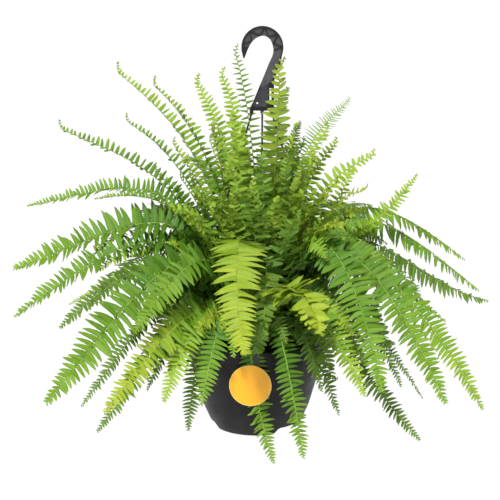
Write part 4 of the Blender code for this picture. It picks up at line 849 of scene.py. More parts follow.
# Material helpers
class Shade:
    """A node material under construction."""

    def __init__(self, name):
        self.mat = bpy.data.materials.new(name)
        self.mat.use_nodes = True
        self.tree = self.mat.node_tree
        self.bsdf = self.tree.nodes["Principled BSDF"]
        self.out = self.tree.nodes["Material Output"]

    def node(self, kind, **settings):
        """A node with its settings, and its inputs by name."""
        made = self.tree.nodes.new(kind)
        for key, value in settings.items():
            if key in made.inputs:
                made.inputs[key].default_value = value
            else:
                setattr(made, key, value)
        return made

    def link(self, source, target):
        self.tree.links.new(source, target)

    def feed(self, source, target):
        """Sets a socket to a number or colour, or links it to another."""
        if isinstance(source, tuple):
            target.default_value = (*source, 1.0)
        elif isinstance(source, (int, float)):
            target.default_value = source
        else:
            self.link(source, target)

    def place(self):
        return self.node("ShaderNodeTexCoord").outputs["Object"]

    def axis(self, name):
        """One coordinate of the place, by its letter."""
        split = self.node("ShaderNodeSeparateXYZ")
        self.link(self.place(), split.inputs[0])
        return split.outputs[name]

    def noise(self, scale, detail=2.0, roughness=0.5, stretch=None):
        made = self.node("ShaderNodeTexNoise", Scale=scale, Detail=detail, Roughness=roughness)
        place = self.place()
        if stretch:
            mapping = self.node("ShaderNodeMapping", Scale=stretch)
            self.link(place, mapping.inputs["Vector"])
            place = mapping.outputs["Vector"]
        self.link(place, made.inputs["Vector"])
        return made.outputs["Fac"]

    def value(self, name):
        return self.node("ShaderNodeAttribute", attribute_name=name).outputs["Fac"]

    def math(self, operation, *operands, clamp=False):
        made = self.node("ShaderNodeMath", operation=operation, use_clamp=clamp)
        for item, socket in zip(operands, made.inputs):
            self.feed(item, socket)
        return made.outputs[0]

    def rise(self, source, low, high):
        """0 where the source is low, 1 where it is high."""
        made = self.node("ShaderNodeMapRange", **{"From Min": low, "From Max": high})
        self.link(source, made.inputs["Value"])
        return made.outputs[0]

    def ramp(self, source, *stops):
        """Linear steps of (position, colour or grey)."""
        made = self.node("ShaderNodeValToRGB")
        ramp = made.color_ramp
        while len(ramp.elements) < len(stops):
            ramp.elements.new(0.5)
        for element, (position, colour) in zip(ramp.elements, stops):
            element.position = position
            element.color = (*colour, 1.0) if isinstance(colour, tuple) else (colour, colour, colour, 1.0)
        self.link(source, made.inputs["Fac"])
        return made.outputs["Color"]

    def mix(self, factor, a, b, blend="MIX"):
        made = self.node("ShaderNodeMix", data_type="RGBA", blend_type=blend)
        for item, socket in ((factor, 0), (a, 6), (b, 7)):
            self.feed(item, made.inputs[socket])
        return made.outputs[2]

    def bump(self, height, strength, distance):
        made = self.node("ShaderNodeBump", Strength=strength, Distance=distance)
        self.link(height, made.inputs["Height"])
        self.link(made.outputs["Normal"], self.bsdf.inputs["Normal"])

    def finish(self, colour, roughness, specular=None):
        """The material, with its colour, roughness and, where it isn't the usual one, specular level."""
        self.link(colour, self.bsdf.inputs["Base Color"])
        self.feed(roughness, self.bsdf.inputs["Roughness"])
        if specular is not None:
            self.bsdf.inputs["Specular IOR Level"].default_value = specular
        return self.mat


def blend(a, b, share):
    """A colour with this share of b in a."""
    return tuple((1 - share) * p + share * q for p, q in zip(a, b))


def leaf_material(tone):
    """Leaf blade with a pale midrib, side veins, mottling and a younger colour towards the frond's tip."""
    s = Shade("leaf_" + tone)
    low, middle, young = LEAF_COLOURS[tone]
    along, across = s.value("along"), s.value("across")
    mottle = s.math("MULTIPLY_ADD", s.noise(60.0, 3.0), 0.30, -0.15)
    age = s.math("ADD", s.math("ADD", along, mottle), s.value("tint"), clamp=True)
    blade = s.ramp(age, (0.08, low), (0.60, middle), (1.0, young))
    blade = s.mix(1.0, blade, s.ramp(s.noise(700.0), (0.3, 0.80), (0.7, 1.0)), "MULTIPLY")
    blade = s.mix(s.math("MULTIPLY", s.value("under"), 0.45), blade, blend(middle, UNDERSIDE, 0.45))
    midrib = s.math("SUBTRACT", 1.0, s.math("MULTIPLY", across, 7.0), clamp=True)
    blade = s.mix(s.math("MULTIPLY", midrib, 0.55), blade, blend(young, RIB_COLOUR, 0.5))
    stem_age = s.math("MULTIPLY", along, STEM_GREENS[tone], clamp=True)
    stem = s.mix(stem_age, STEM_COLOUR, blend(young, RIB_COLOUR, 0.55))
    colour = s.mix(s.value("brown"), s.mix(s.value("stem"), blade, stem), BROWN_TIP)
    slant = s.math("ADD", s.value("length"), s.math("MULTIPLY", across, 0.25))
    s.bump(s.math("SINE", s.math("MULTIPLY", slant, VEINS)), 0.25, 0.0003)
    glow = s.node("ShaderNodeBsdfTranslucent")
    s.link(s.mix(0.5, colour, LEAF_LIGHT), glow.inputs["Color"])
    mixer = s.node("ShaderNodeMixShader")
    mixer.inputs[0].default_value = LEAF_GLOW
    s.link(s.bsdf.outputs[0], mixer.inputs[1])
    s.link(glow.outputs[0], mixer.inputs[2])
    s.link(mixer.outputs[0], s.out.inputs["Surface"])
    return s.finish(colour, s.math("MULTIPLY_ADD", s.noise(300.0), 0.18, 0.36), 0.30)


def pot_material():
    """Charcoal moulded plastic with a fine grain, faint streaks and patches of dust."""
    s = Shade("basket_plastic")
    base = s.ramp(s.noise(1.0, 4.0, stretch=(60.0, 60.0, 6.0)), *POT_COLOURS)
    dust = s.ramp(s.noise(25.0, 5.0, 0.65), (0.55, 0.0), (0.75, 0.5))
    s.bump(s.noise(1800.0), 0.20, 0.0002)
    rough = s.ramp(s.noise(40.0, 3.0), (0.3, 0.40), (0.7, 0.55))
    return s.finish(s.mix(s.math("MULTIPLY", dust, 0.35), base, POT_DUST), rough, 0.22)


def satin(s, colour, specular=None):
    """The finish of the hook and the rods."""
    s.bump(s.noise(1500.0), 0.15, 0.0002)
    return s.finish(colour, s.ramp(s.noise(90.0, 3.0), (0.3, 0.34), (0.7, 0.48)), specular)


def hook_material():
    """Dark satin plastic with painted light on its relief: paler, slightly violet sunk faces as painted
    sheen, and black rims and rib tops darkened further as painted shade.
    """
    s = Shade("hanger_plastic")
    half = HOOK_THICKNESS / 2
    depth = s.math("ABSOLUTE", s.axis("Y"))
    # Painted shade darkens the rims and rib tops; painted sheen makes the sunk faces paler
    rim = s.rise(depth, half - HOOK_PANEL_DEPTH, half - HOOK_RIM_DEPTH)
    web = s.math("LESS_THAN", depth, half - HOOK_POCKET + HOOK_WEB_MARGIN)
    colour = s.mix(rim, s.mix(web, HOOK_PANEL_PAINTED_SHEEN, HOOK_WEB_PAINTED_SHEEN), HOOK_RIM_PAINTED_SHADE)
    grain = s.ramp(s.noise(160.0, 4.0), (0.3, 0.75), (0.7, 1.0))
    return satin(s, s.mix(1.0, colour, grain, "MULTIPLY"), 0.35)


def rod_material(name, pale=None):
    """Dark satin plastic; the optional colour is a painted highlight that the rod turns to lower down, over
    the clip.
    """
    s = Shade(name)
    dark, light = (tuple(share * c for c in ROD) for share in (0.8, 1.25))
    colour = s.ramp(s.noise(220.0, 3.0), (0.3, dark), (0.7, light))
    # Painted highlight: the front rod turns paler lower down, over the clip
    if pale:
        lower = s.rise(s.axis("Z"), ROD_HIGHLIGHT_FROM, ROD_HIGHLIGHT_AT)
        above_clip = s.rise(s.axis("Z"), RIM_Z + CLIP_PLATE, RIM_Z + 3 * CLIP_PLATE)
        colour = s.mix(s.math("MULTIPLY", lower, above_clip), colour, pale)
    return satin(s, colour)


def tag_material():
    """Yellow-orange plastic with a smooth face, a paler ring near its edge and faint wear."""
    s = Shade("tag_plastic")
    base = s.ramp(s.noise(35.0, 3.0), *TAG_COLOURS)
    s.bump(s.noise(900.0), 0.08, 0.0001)
    rough = s.ramp(s.noise(120.0, 3.0), (0.3, 0.34), (0.7, 0.44))
    return s.finish(s.mix(s.value("ring"), base, TAG_RING_COLOUR), rough)


def soil_material():
    """Dark peat with bark flecks and pale mineral specks."""
    s = Shade("soil")
    base = s.ramp(s.noise(160.0, 8.0, 0.7), *SOIL_COLOURS)
    cells = s.node("ShaderNodeTexVoronoi", feature="F1", Scale=230.0)
    s.link(s.place(), cells.inputs["Vector"])
    speck = s.ramp(cells.outputs["Distance"], (0.10, 1.0), (0.16, 0.0))
    rare = s.ramp(s.noise(90.0), (0.60, 0.0), (0.63, 1.0))
    s.bump(s.noise(260.0, 8.0, 0.7), 0.9, 0.003)
    return s.finish(s.mix(s.math("MULTIPLY", speck, rare), base, SOIL_SPECK), 0.95)


# Fronds
Blade = namedtuple("Blade", "line ahead across face")


def kind_of(frond):
    if frond.name in KINDS:
        return KINDS[frond.name]
    return KINDS.get(frond.name.split("_")[0], "grown")


def rib_line(handles, curl):
    """The rachis as many even points. curl bends its last stretch into a young frond's hook."""
    fine = rachis_points(handles, FINE)[1:]
    if curl > 0:
        bend_from = FINE - CURL_FROM - int(CURL_MORE * curl)
        step = np.linalg.norm(fine[1] - fine[0])
        here, ahead = fine[bend_from - 1], units(fine[bend_from] - fine[bend_from - 1])
        axis = units(np.cross(ahead, CURL_TOWARDS))
        turn = math.radians(CURL_TURN * curl)
        for i in range(bend_from, FINE):
            ahead = units(ahead * math.cos(turn) + np.cross(axis, ahead) * math.sin(turn))
            here = here + ahead * step
            fine[i] = here
    return fine


def ring_faces(tubes, rings, sides):
    """Quads of several equal tubes of rings, and the caps at both ends."""
    start = np.arange(tubes)[:, None, None] * rings * sides
    ring = np.arange(rings - 1)[None, :, None] * sides
    j = np.arange(sides)[None, None, :]
    k = (j + 1) % sides
    a, b = start + ring + j, start + ring + k
    faces = np.stack([a, b, b + sides, a + sides], axis=-1).reshape(-1, 4).tolist()
    for tube in range(tubes):
        low = tube * rings * sides
        high = low + (rings - 1) * sides
        faces.append(tuple(range(low + sides - 1, low - 1, -1)))
        faces.append(tuple(range(high, high + sides)))
    return faces


def rib_mesh(blade):
    """Points, faces and shader values of the rachis, which thins towards its tip."""
    s = np.linspace(0, 1, RIB_STEPS + 1)
    at = np.minimum(FINE - 1, np.round(s * (FINE - 1)).astype(int))
    radius = (RIB_BASE + (RIB_TIP - RIB_BASE) * s ** RIB_TAPER)[:, None, None]
    a = 2 * math.pi * np.arange(RIB_SIDES) / RIB_SIDES
    across, face = blade.across[at][:, None], blade.face[at][:, None]
    round_it = across * np.cos(a)[:, None] + RIB_FLAT * face * np.sin(a)[:, None]
    rings = blade.line[at][:, None] + radius * round_it
    none, full = np.zeros(rings.size // 3), np.ones(rings.size // 3)
    values = {
        "along": np.repeat(s ** RIB_AGEING, RIB_SIDES), "across": full, "under": none, "stem": full,
        "length": np.repeat(s, RIB_SIDES), "tint": none, "brown": none,
    }
    return rings.reshape(-1, 3), ring_faces(1, RIB_STEPS + 1, RIB_SIDES), values


def pinna_places(frond, style, length):
    """For each pinna: its turn from foot to tip, its side, its share of the rachis, and its room."""
    bare = BARE[frond.ring]
    follow = SPACING_FOLLOWS * frond.half_width / USUAL_HALF_WIDTH
    spacing = style.spacing * (1 - SPACING_FOLLOWS + follow) * MM
    pairs = max(FEWEST_PAIRS, int(CROWDING * length * (1 - bare) / spacing))
    k = np.repeat(np.arange(pairs), 2)
    side = np.tile([1.0, -1.0], pairs)
    t = (k + np.where(side > 0, 0.5, 1.0)) / (pairs + 0.5)
    share = bare + (1 - bare) * (1 - (1 - t) ** CROWDING)
    after = bare + (1 - bare) * (1 - (1 - np.minimum(1, t + 1 / pairs)) ** CROWDING)
    return t, side, share, np.maximum((after - share) * length, LEAST_ROOM)


def pinna_sizes(frond, style, places, rng):
    """Length and width of each pinna."""
    t, _, share, room = places
    leafy = LEAFY_FROM[frond.ring]
    s = np.maximum(0.0, (share - leafy) / (1 - leafy))
    full = FOOT_LENGTH + (1 - FOOT_LENGTH) * np.sin(np.minimum(1.0, s / FULL_FROM) * math.pi / 2)
    longest = frond.half_width * MM
    reach = longest * full * (1 - TIP_SHORTER * s ** FULLNESS) * rng.uniform(*LENGTH_SPREAD, len(t))
    reach *= np.minimum(1.0, FIRST_LENGTH + FIRST_GAIN * t)
    fill = style.width * (1 - WIDTH_FOLLOWS + WIDTH_FOLLOWS * frond.half_width / USUAL_HALF_WIDTH)
    width = np.minimum(room * fill, WIDEST_SHARE * reach + LEAST_WIDTH) * rng.uniform(*WIDTH_SPREAD, len(t))
    return s, reach, width


def pinnae_mesh(frond, style, blade, rng):
    """Points, faces and shader values of the pinnae: each a sheet with a midrib above and below."""
    length = float(np.linalg.norm(np.diff(blade.line, axis=0), axis=1).sum())
    places = pinna_places(frond, style, length)
    _, side, share, _ = places
    s, reach, width = pinna_sizes(frond, style, places, rng)
    n = len(side)
    at = np.minimum(FINE - 1, (share * FINE).astype(int))
    ahead, across, face = blade.ahead[at], blade.across[at], blade.face[at]
    fold = np.radians(FOLDS.get(frond.name, style.fold) + rng.normal(0, style.jitter, n))[:, None]
    lean = np.radians(style.lean + TIP_LEAN * s ** 3 + rng.normal(0, LEAN_SPREAD, n))[:, None]
    roll = np.radians(rng.normal(0, ROLL_SPREAD + style.jitter, n))[:, None]
    sign = side[:, None]
    out = across * (sign * np.cos(fold)) + face * np.sin(fold)
    top = face * np.cos(fold) - across * (sign * np.sin(fold))
    heading = out * np.cos(lean) + ahead * np.sin(lean)
    bend = np.radians(style.curve + rng.normal(0, CURVE_SPREAD, n))[:, None]
    droop = (style.droop * rng.uniform(*DROOP_SPREAD, n) * (1 - np.abs(ahead[:, 2])))[:, None]
    wave_at = rng.uniform(*WAVE_START, n)[:, None]
    wave = style.wave * MM * rng.uniform(*WAVE_SPREAD, n) * np.minimum(1.0, reach / WAVE_FULL_AT)
    cup = rng.uniform(*CUP_SPREAD, n)[:, None]
    tint = rng.uniform(-FROND_TINT, FROND_TINT) + rng.normal(0, PINNA_TINT, n)
    brown = np.where(rng.random(n) < BROWN_SHARE, BROWN, 0.0)
    down = np.array([0.0, 0.0, -1.0])
    here = blade.line[at] - heading * PINNA_ROOT
    sheets = np.empty((n, len(STATIONS), 4, 3))
    last = 0.0
    for i, (u, fill) in enumerate(zip(STATIONS, POINTED + (OBLONG - POINTED) * style.oblong)):
        turn = bend * u
        going = units(heading * np.cos(turn) + ahead * np.sin(turn) + down * (droop * u * u))
        here = here + going * ((u - last) * reach)[:, None]
        last = u
        cross = units(np.cross(top, going)) * sign
        normal = units(np.cross(going, cross)) * sign
        cross = cross * np.cos(roll) + normal * np.sin(roll)
        normal = units(np.cross(going, cross)) * sign
        half = (width / 2 * fill * (1 + TEETH * (1 if i % 2 else -1)))[:, None]
        ear = 1.0 + EAR * max(0.0, 1 - abs(u - EAR_AT) / EAR_REACH)
        lift = normal * (wave[:, None] * np.sin(wave_at + WAVE_TURNS * u) * u)
        thick = THICKNESS * (1 - TIP_THINNER * u) / 2
        fall = normal * (cup * half)
        sheets[:, i, 0] = here + cross * (half * ear) + lift + fall
        sheets[:, i, 1] = here + normal * thick + lift
        sheets[:, i, 2] = here - cross * half - lift * LOWER_WAVE + fall
        sheets[:, i, 3] = here - normal * thick + lift
    per = len(STATIONS) * 4
    u = np.tile(np.repeat(STATIONS, 4), n)
    values = {
        "along": np.repeat(LOWEST_AGE + (1 - LOWEST_AGE) * share, per),
        "across": np.tile([1.0, 0.0, 1.0, 0.0], n * len(STATIONS)),
        "under": np.tile([0.5, 0.0, 0.5, 1.0], n * len(STATIONS)), "stem": np.zeros(n * per),
        "length": u, "tint": np.repeat(tint, per) + TIP_TINT * u,
        "brown": np.repeat(brown, per) * np.maximum(0.0, (u - BROWN_FROM) / (1 - BROWN_FROM)),
    }
    return sheets.reshape(-1, 3), ring_faces(n, len(STATIONS), 4), values


def frond_mesh(frond, handles, seed):
    """Points, faces and shader values of one frond: a tapering rachis and its pinnae."""
    style = STYLES[kind_of(frond)]
    line = rib_line(handles, style.curl)
    below = line[:1] - [0, 0, RIB_BELOW]
    blade = Blade(line, *frames(np.vstack([below, line]), frond.roll)[:, 1:])
    pinnae = pinnae_mesh(frond, style, blade, np.random.default_rng(seed))
    points, faces, values = merged([rib_mesh(blade), pinnae])
    return kept_clear(points), faces, values


def kept_clear(points):
    """A frond's points, with those in the pot's wall laid on it, and all on one side of the tag."""
    x, y = points[:, 0] - POT_X, points[:, 1]
    r = np.hypot(x, y)
    drop = RIM_Z - points[:, 2]
    wall = np.where(drop > RIM_BAND, wall_radius(drop), RIM_RADIUS)
    inside = (drop > -LEAF_OVER_RIM) & (drop < POT_HEIGHT)
    inside &= (r > wall - LEAF_IN_POT) & (r < wall + LEAF_OFF_POT)
    scale = np.where(inside, (wall + LEAF_OFF_POT) / np.maximum(r, 1 * MM), 1.0)
    points = points.copy()
    points[:, 0] = POT_X + x * scale
    points[:, 1] = y * scale
    out, across = from_axis(points, TAG_AZIMUTH)
    near = np.hypot(across, drop - TAG_CENTRE_DROP) < TAG_DIAMETER / 2 + LEAF_PAST_TAG
    near &= out > TAG_STANDOFF - LEAF_NEAR_TAG
    if near.any():
        behind, before = TAG_STANDOFF - LEAF_OFF_TAG, TAG_STANDOFF + TAG_THICKNESS + LEAF_OFF_TAG
        if np.median(out[near]) < before:
            shift = np.where(near & (out > behind), behind - out, 0.0)
        else:
            shift = np.where(near & (out < before), before - out, 0.0)
        a = math.radians(TAG_AZIMUTH)
        points[:, :2] += shift[:, None] * np.array([math.cos(a), math.sin(a)])
    return points


def merged(parts):
    """Several (points, faces, values) as one."""
    _, faces = joined(*(part[:2] for part in parts))
    values = {key: np.concatenate([part[2][key] for part in parts]) for key in parts[0][2]}
    return np.vstack([part[0] for part in parts]), faces, values


def frond_piece(name, parts, tone, material, *nodes):
    """One piece from the (points, faces, values) of several fronds, in place of the CAD nodes."""
    points, faces, values = merged(parts)
    obj = mesh_piece(name, points, faces, material, "leaf_" + tone)
    for key, item in values.items():
        point_values(obj.data, key, item)
    sharpen_margins(obj.data, values)
    if nodes:
        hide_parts(*nodes)


def sharpen_margins(mesh, values):
    """Marks the leaf margins sharp, so that the upper and lower faces shade apart."""
    ends = np.empty(len(mesh.edges) * 2, np.int32)
    mesh.edges.foreach_get("vertices", ends)
    on_margin = ((values["across"] > 0.5) & (values["stem"] < 0.5))[ends.reshape(-1, 2)]
    layer = mesh.attributes.get("sharp_edge") or mesh.attributes.new("sharp_edge", "BOOLEAN", "EDGE")
    layer.data.foreach_set("value", on_margin.all(axis=1))


def companion(frond, handles, seed, side):
    """A younger frond beside this one: the first part of its curve, turned about the pot's axis."""
    rng = random.Random(seed)
    turn = side * rng.uniform(*COMPANION_TURN)
    share = rng.uniform(*REACHES.get(kind_of(frond), REACHES["grown"]))
    moved = []
    for point, lift_share in zip(handles, LIFT_SHARES):
        x, y, z = turned_about_pot((point[0] - POT_X, *point[1:]), turn)
        lift = lift_share * rng.uniform(*COMPANION_LIFT) * MM
        moved.append(np.array([POT_X + x, y, z + lift]))
    # The curve's first part has handles at this share of each step between its own
    p01, p12, p23 = (moved[k] + share * (moved[k + 1] - moved[k]) for k in range(3))
    p012, p123 = p01 + share * (p12 - p01), p12 + share * (p23 - p12)
    tip = p012 + share * (p123 - p012)
    half_width = frond.half_width * rng.uniform(*COMPANION_WIDTH)
    young = frond._replace(half_width=half_width, roll=frond.roll + rng.uniform(*COMPANION_ROLL))
    return frond_mesh(young, [moved[0], p01, p012, tip], seed)


def extra_mesh(frond, seed):
    """A frond from a free place on its ring of the crown."""
    ring = ROOT_RING[frond.ring] + EXTRA_SHIFT
    azimuth = math.atan2(frond.bend[1], frond.bend[0])
    azimuth += random.Random(seed).uniform(-EXTRA_SWING, EXTRA_SWING)
    place = (ring * math.cos(azimuth), ring * math.sin(azimuth))
    return frond_mesh(frond, rachis_handles(frond, place, 0, 0), seed)


def companion_count(frond):
    if frond.name in ALONE:
        return 0
    return 2 if frond.name in CROWDED or frond.tone == "dark" else 1


def build_ferns(obstacles):
    """The young fronds of the crown by tone, then every frond with the younger ones beside it."""
    routes = plan_routes(obstacles)
    materials = {tone: leaf_material(tone) for tone in LEAF_COLOURS}
    for tone, material in materials.items():
        extras = [extra_mesh(f, EXTRA_SEED + i) for i, f in enumerate(EXTRAS) if f.tone == tone]
        frond_piece("young_fronds_" + tone, extras, tone, material)
    parts = {}
    for i, frond in enumerate(FRONDS):
        handles = routes[frond.name]["handles"]
        parts[frond.name] = [frond_mesh(frond, handles, SEED + i)]
        for k in range(companion_count(frond)):
            side = 1 - 2 * ((i + k) % 2)
            parts[frond.name].append(companion(frond, handles, COMPANION_SEED + 100 * k + i, side))
    seconds = {lead: name for name, lead in TWINS.items()}
    for frond in FRONDS:
        if frond.name not in TWINS:
            own = parts[frond.name] + parts.get(seconds.get(frond.name), [])
            frond_piece("fern_" + frond.name, own, frond.tone, materials[frond.tone], "frond_" + frond.name)


# Pot
def arch_lift(azimuth):
    """How far the foot's lower edge is raised at this azimuth."""
    best = 0.0
    for centre in ARCH_AZIMUTHS:
        apart = abs((azimuth - centre + 180) % 360 - 180)
        flat = ARCH_FLAT_SHARE * ARCH_HALF_ANGLE
        best = max(best, min(1.0, (ARCH_HALF_ANGLE - apart) / (ARCH_HALF_ANGLE - flat)))
    return ARCH_HEIGHT * best


def pot_ring(radius, z, arched):
    """One ring of the pot; where it is arched, the foot's arches lift it up the wall."""
    foot_radius = wall_radius(POT_HEIGHT)
    ring = []
    for k in range(POT_SIDES):
        azimuth = 360 * k / POT_SIDES
        low = RIM_Z - POT_HEIGHT + arch_lift(azimuth)
        r, height = radius, z
        if arched and z < low:
            height = low
            r = wall_radius(RIM_Z - low)
            if radius < foot_radius - POT_WALL / 2:
                r = min(radius, r)
        ring.append(at_azimuth(azimuth, r, height))
    return ring


def pot_rings():
    """The pot's rings, down the outside and up the inside."""
    foot = RIM_Z - POT_HEIGHT
    under, over = foot + FLOOR_HEIGHT, foot + FLOOR_HEIGHT + POT_WALL
    rim, lip = ([(RIM_RADIUS + out * MM, RIM_Z + up * MM) for out, up in profile]
                for profile in (RIM_PROFILE, RIM_INSIDE))
    rim.append((wall_radius(WALL_RINGS[0][0] * MM) + RIM_STEP[0], RIM_Z - RIM_BAND - RIM_STEP[1]))
    drops = np.concatenate([np.linspace(*rings) for rings in WALL_RINGS])
    wall = [(wall_radius(drop * MM), RIM_Z - drop * MM) for drop in drops]
    wall += [(wall_radius(POT_HEIGHT) + out * MM, foot + up * MM) for out, up in FOOT_PROFILE]
    inside = [(wall_radius(RIM_Z - under) - POT_WALL, under)]
    inside += [(r * MM, under) for r in FLOOR_RINGS]
    inside += [(r * MM, over) for r in FLOOR_RINGS[::-1]]
    heights = [over] + [RIM_Z - drop * MM for drop, _ in WALL_PROFILE[2:0:-1]]
    inside += [(wall_radius(RIM_Z - z) - POT_WALL, z) for z in heights]
    rings = [pot_ring(r, z, False) for r, z in rim] + [pot_ring(r, z, True) for r, z in wall]
    return rings + [pot_ring(r, z, False) for r, z in inside + lip]


def build_pot(material):
    pot = mesh_piece("basket_pot", *loft(pot_rings(), closed=True), material, "basket_plastic")
    floor = RIM_Z - POT_HEIGHT + FLOOR_HEIGHT
    cutters = []
    for azimuth in DRAIN_AZIMUTHS:
        centre = at_azimuth(azimuth, DRAIN_RING, 0)
        hole = [(centre.x + DRAIN_RADIUS * c, centre.y + DRAIN_RADIUS * s) for c, s in circle(DRAIN_SIDES)]
        cutters.append(loft([[(x, y, floor + z) for x, y in hole] for z in DRAIN_CUT]))
    cut(pot, cutters)
    sharpen(pot, POT_CREASE)
    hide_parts("pot")


# Soil
def build_soil(material):
    """The fill, as rings from the middle of its lumpy top out to the wall and down it."""
    rng = random.Random(SOIL_SEED)
    top = RIM_Z - SOIL_DROP
    spans = (SOIL_FINENESS, SOIL_START, SOIL_START)
    waves = [[rng.uniform(*span) for span in spans] for _ in range(SOIL_LUMPS)]

    def lumps(x, y):
        return SOIL_LUMP * sum(math.sin(fine * x + a) * math.cos(fine * y + b) / (fine / SOIL_FINENESS[0])
                               for fine, a, b in waves)

    widest = wall_radius(SOIL_DROP + 3 * MM) - POT_WALL - SOIL_OFF_WALL
    rings = []
    for r in np.linspace(2, SOIL_RADIUS, SOIL_RINGS):
        edge = max(0.0, (r - SOIL_RADIUS + SOIL_EDGE) / SOIL_EDGE)
        dome = top + SOIL_MOUND * (1 - (r / SOIL_RADIUS) ** 2) - SOIL_DIP * edge
        reach = min(r * MM, widest)
        rings.append([(POT_X + reach * c, reach * s, dome + lumps(r * MM * c, r * MM * s) * (1 - edge))
                      for c, s in circle(SOIL_SIDES)])
    for drop in SOIL_SIDE_DROPS:
        r = min(wall_radius(drop * MM), wall_radius(RIM_BAND)) - POT_WALL - SOIL_OFF_WALL
        rings.append([(POT_X + r * c, r * s, RIM_Z - drop * MM) for c, s in circle(SOIL_SIDES)])
    points, faces = loft(rings)
    # A fan round one point takes the place of the first ring's cap
    middle = len(points)
    points.append((POT_X, 0, top + SOIL_MOUND))
    faces = faces[:-2] + faces[-1:] + [(middle, k, (k + 1) % SOIL_SIDES) for k in range(SOIL_SIDES)]
    soil = mesh_piece("potting_mix", points, faces, material, "soil")
    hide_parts("potting_soil")


# Round tag
def disc(centre, across, radius, sides):
    """A ring of points round a centre, in the plane of across and the vertical."""
    up = Vector((0, 0, 1))
    return [centre + radius * (across * c + up * s) for c, s in circle(sides)]


def build_tag(material):
    """Blank round card with a softly rounded edge and a paler ring, on its two pads."""
    out, across = around(TAG_AZIMUTH)
    half = TAG_DIAMETER / 2
    front = TAG_THICKNESS
    # Depth, radius, and 1 on the pale ring
    rows = [(0, TAG_EYE, 0), (0, half * TAG_MIDDLE[0], 0), (0, half - TAG_BEVEL, 0), (TAG_BEVEL, half, 1),
            (front - TAG_BEVEL, half, 1), (front, half - TAG_BEVEL, 1), (front, half - TAG_RING[0], 1),
            (front, half - TAG_RING[1], 0), (front, half * TAG_MIDDLE[1], 0), (front, TAG_EYE, 0)]
    centre = Vector((POT_X, 0, RIM_Z - TAG_CENTRE_DROP))
    shapes = [loft([disc(centre + out * (TAG_STANDOFF + depth), across, radius, TAG_SIDES)
                    for depth, radius, _ in rows])]
    ring_values = [ring for _, _, ring in rows for _ in range(TAG_SIDES)]
    size = TAG_PAD_SIZE / 2
    near = math.sqrt((wall_radius(TAG_PAD_DROP - size) + GAP) ** 2 - (TAG_PAD_SPREAD - size) ** 2)
    for side in (-1, 1):
        centre = Vector((POT_X, 0, RIM_Z - TAG_PAD_DROP)) + across * (side * TAG_PAD_SPREAD)
        shapes.append(loft([disc(centre + out * depth, across, size, TAG_PAD_SIDES)
                            for depth in (near, TAG_STANDOFF + TAG_PAD_OVERLAP)]))
        ring_values += [0] * (2 * TAG_PAD_SIDES)
    tag = mesh_piece("blank_round_tag", *joined(*shapes), material, "tag_plastic")
    point_values(tag.data, "ring", ring_values)
    sharpen(tag, TAG_CREASE)
    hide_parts("round_tag")


# Hook
def hook_arc(radius, span, count):
    """Points on an arc about the loop's centre, from one azimuth of the span to the other."""
    cx, cz = HOOK_ARC_CENTRE
    turns = [math.radians(span[0] + (span[1] - span[0]) * i / count) for i in range(count + 1)]
    return [(cx + radius * math.cos(a), cz + radius * math.sin(a)) for a in turns]


def hook_outline():
    arc = hook_arc(HOOK_ARC_RADIUS, HOOK_ARC, HOOK_ARC_SPANS)
    inner = smooth_curve(HOOK_INNER, HOOK_CURVE_STEPS)
    return HOOK_TIP[:1] + arc + HOOK_OUTER_SHANK[::-1] + HOOK_FOOT[::-1] + inner[::-1] + HOOK_TIP[1:]


def inset_outline(outline, distance):
    """The outline moved inward by a distance, or outward where it is negative."""
    pts = [np.array(p, float) for p in outline]
    following = pts[1:] + pts[:1]
    area = sum(here[0] * after[1] - after[0] * here[1] for here, after in zip(pts, following))
    turn = 1 if area > 0 else -1
    out = []
    for before, here, after in zip(pts[-1:] + pts, pts, following):
        first, second = (units(np.array([a[1] - b[1], b[0] - a[0]])) * turn
                         for a, b in ((before, here), (here, after)))
        mid = units(first + second)
        out.append(tuple(here + mid * distance / max(MITRE_LEAST, float(mid @ first))))
    return out


def hook_pocket():
    """Outline of the sunk face, a flange's width inside the loop's edges."""
    flange = HOOK_FLANGE / MM
    outer = hook_arc(HOOK_ARC_RADIUS - flange, HOOK_POCKET_ARC, HOOK_POCKET_SPANS) + HOOK_POCKET_SHANK
    loop = smooth_curve(HOOK_INNER, HOOK_POCKET_STEPS)
    moved = inset_outline(loop + HOOK_FOOT[-1:] + HOOK_OUTER_SHANK, -flange)
    inner = [p for p in moved[2:len(loop)] if p[1] > HOOK_POCKET_LOW]
    tip_x, tip_z = HOOK_POCKET_TIP
    return outer + [p for p in inner[::-1] if p[0] > tip_x or p[1] > tip_z]


def plate(outline, y0, y1):
    """A flat plate with an outline in mm, from one depth to another."""
    return loft([[(x * MM, y, z * MM) for x, z in outline] for y in (y0, y1)])


def build_hook(material):
    half = HOOK_THICKNESS / 2
    web = half - HOOK_POCKET
    hook = mesh_piece("hanger_hook", *plate(hook_outline(), -half, half), material, "hanger_plastic")
    cutters = []
    for side in (-1, 1):
        for outline, depth in ((hook_pocket(), web), (HOOK_PANEL, half - HOOK_PANEL_DEPTH)):
            cutters.append(plate(outline, side * depth, side * (half + CUT_PAST)))
    x0, x1, z0, z1 = HOOK_SLOT
    hx, hz, hr = HOOK_HOLE
    hole = [(hx + hr * c, hz + hr * s) for c, s in circle(HOOK_HOLE_SIDES)]
    for outline in ([(x0, z0), (x1, z0), (x1, z1), (x0, z1)], hole):
        cutters.append(plate(outline, -half - CUT_PAST, half + CUT_PAST))
    cut(hook, cutters)
    bevel = hook.modifiers.new("bevel", "BEVEL")
    bevel.width = HOOK_BEVEL
    bevel.segments = 2
    bevel.limit_method = "ANGLE"
    bevel.angle_limit = math.radians(HOOK_BEVEL_ANGLE)
    apply_modifiers(hook)
    add_ribs(hook.data, web)
    hook.data.polygons.foreach_set("use_smooth", [True] * len(hook.data.polygons))
    sharpen(hook, HOOK_CREASE)
    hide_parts("hook")


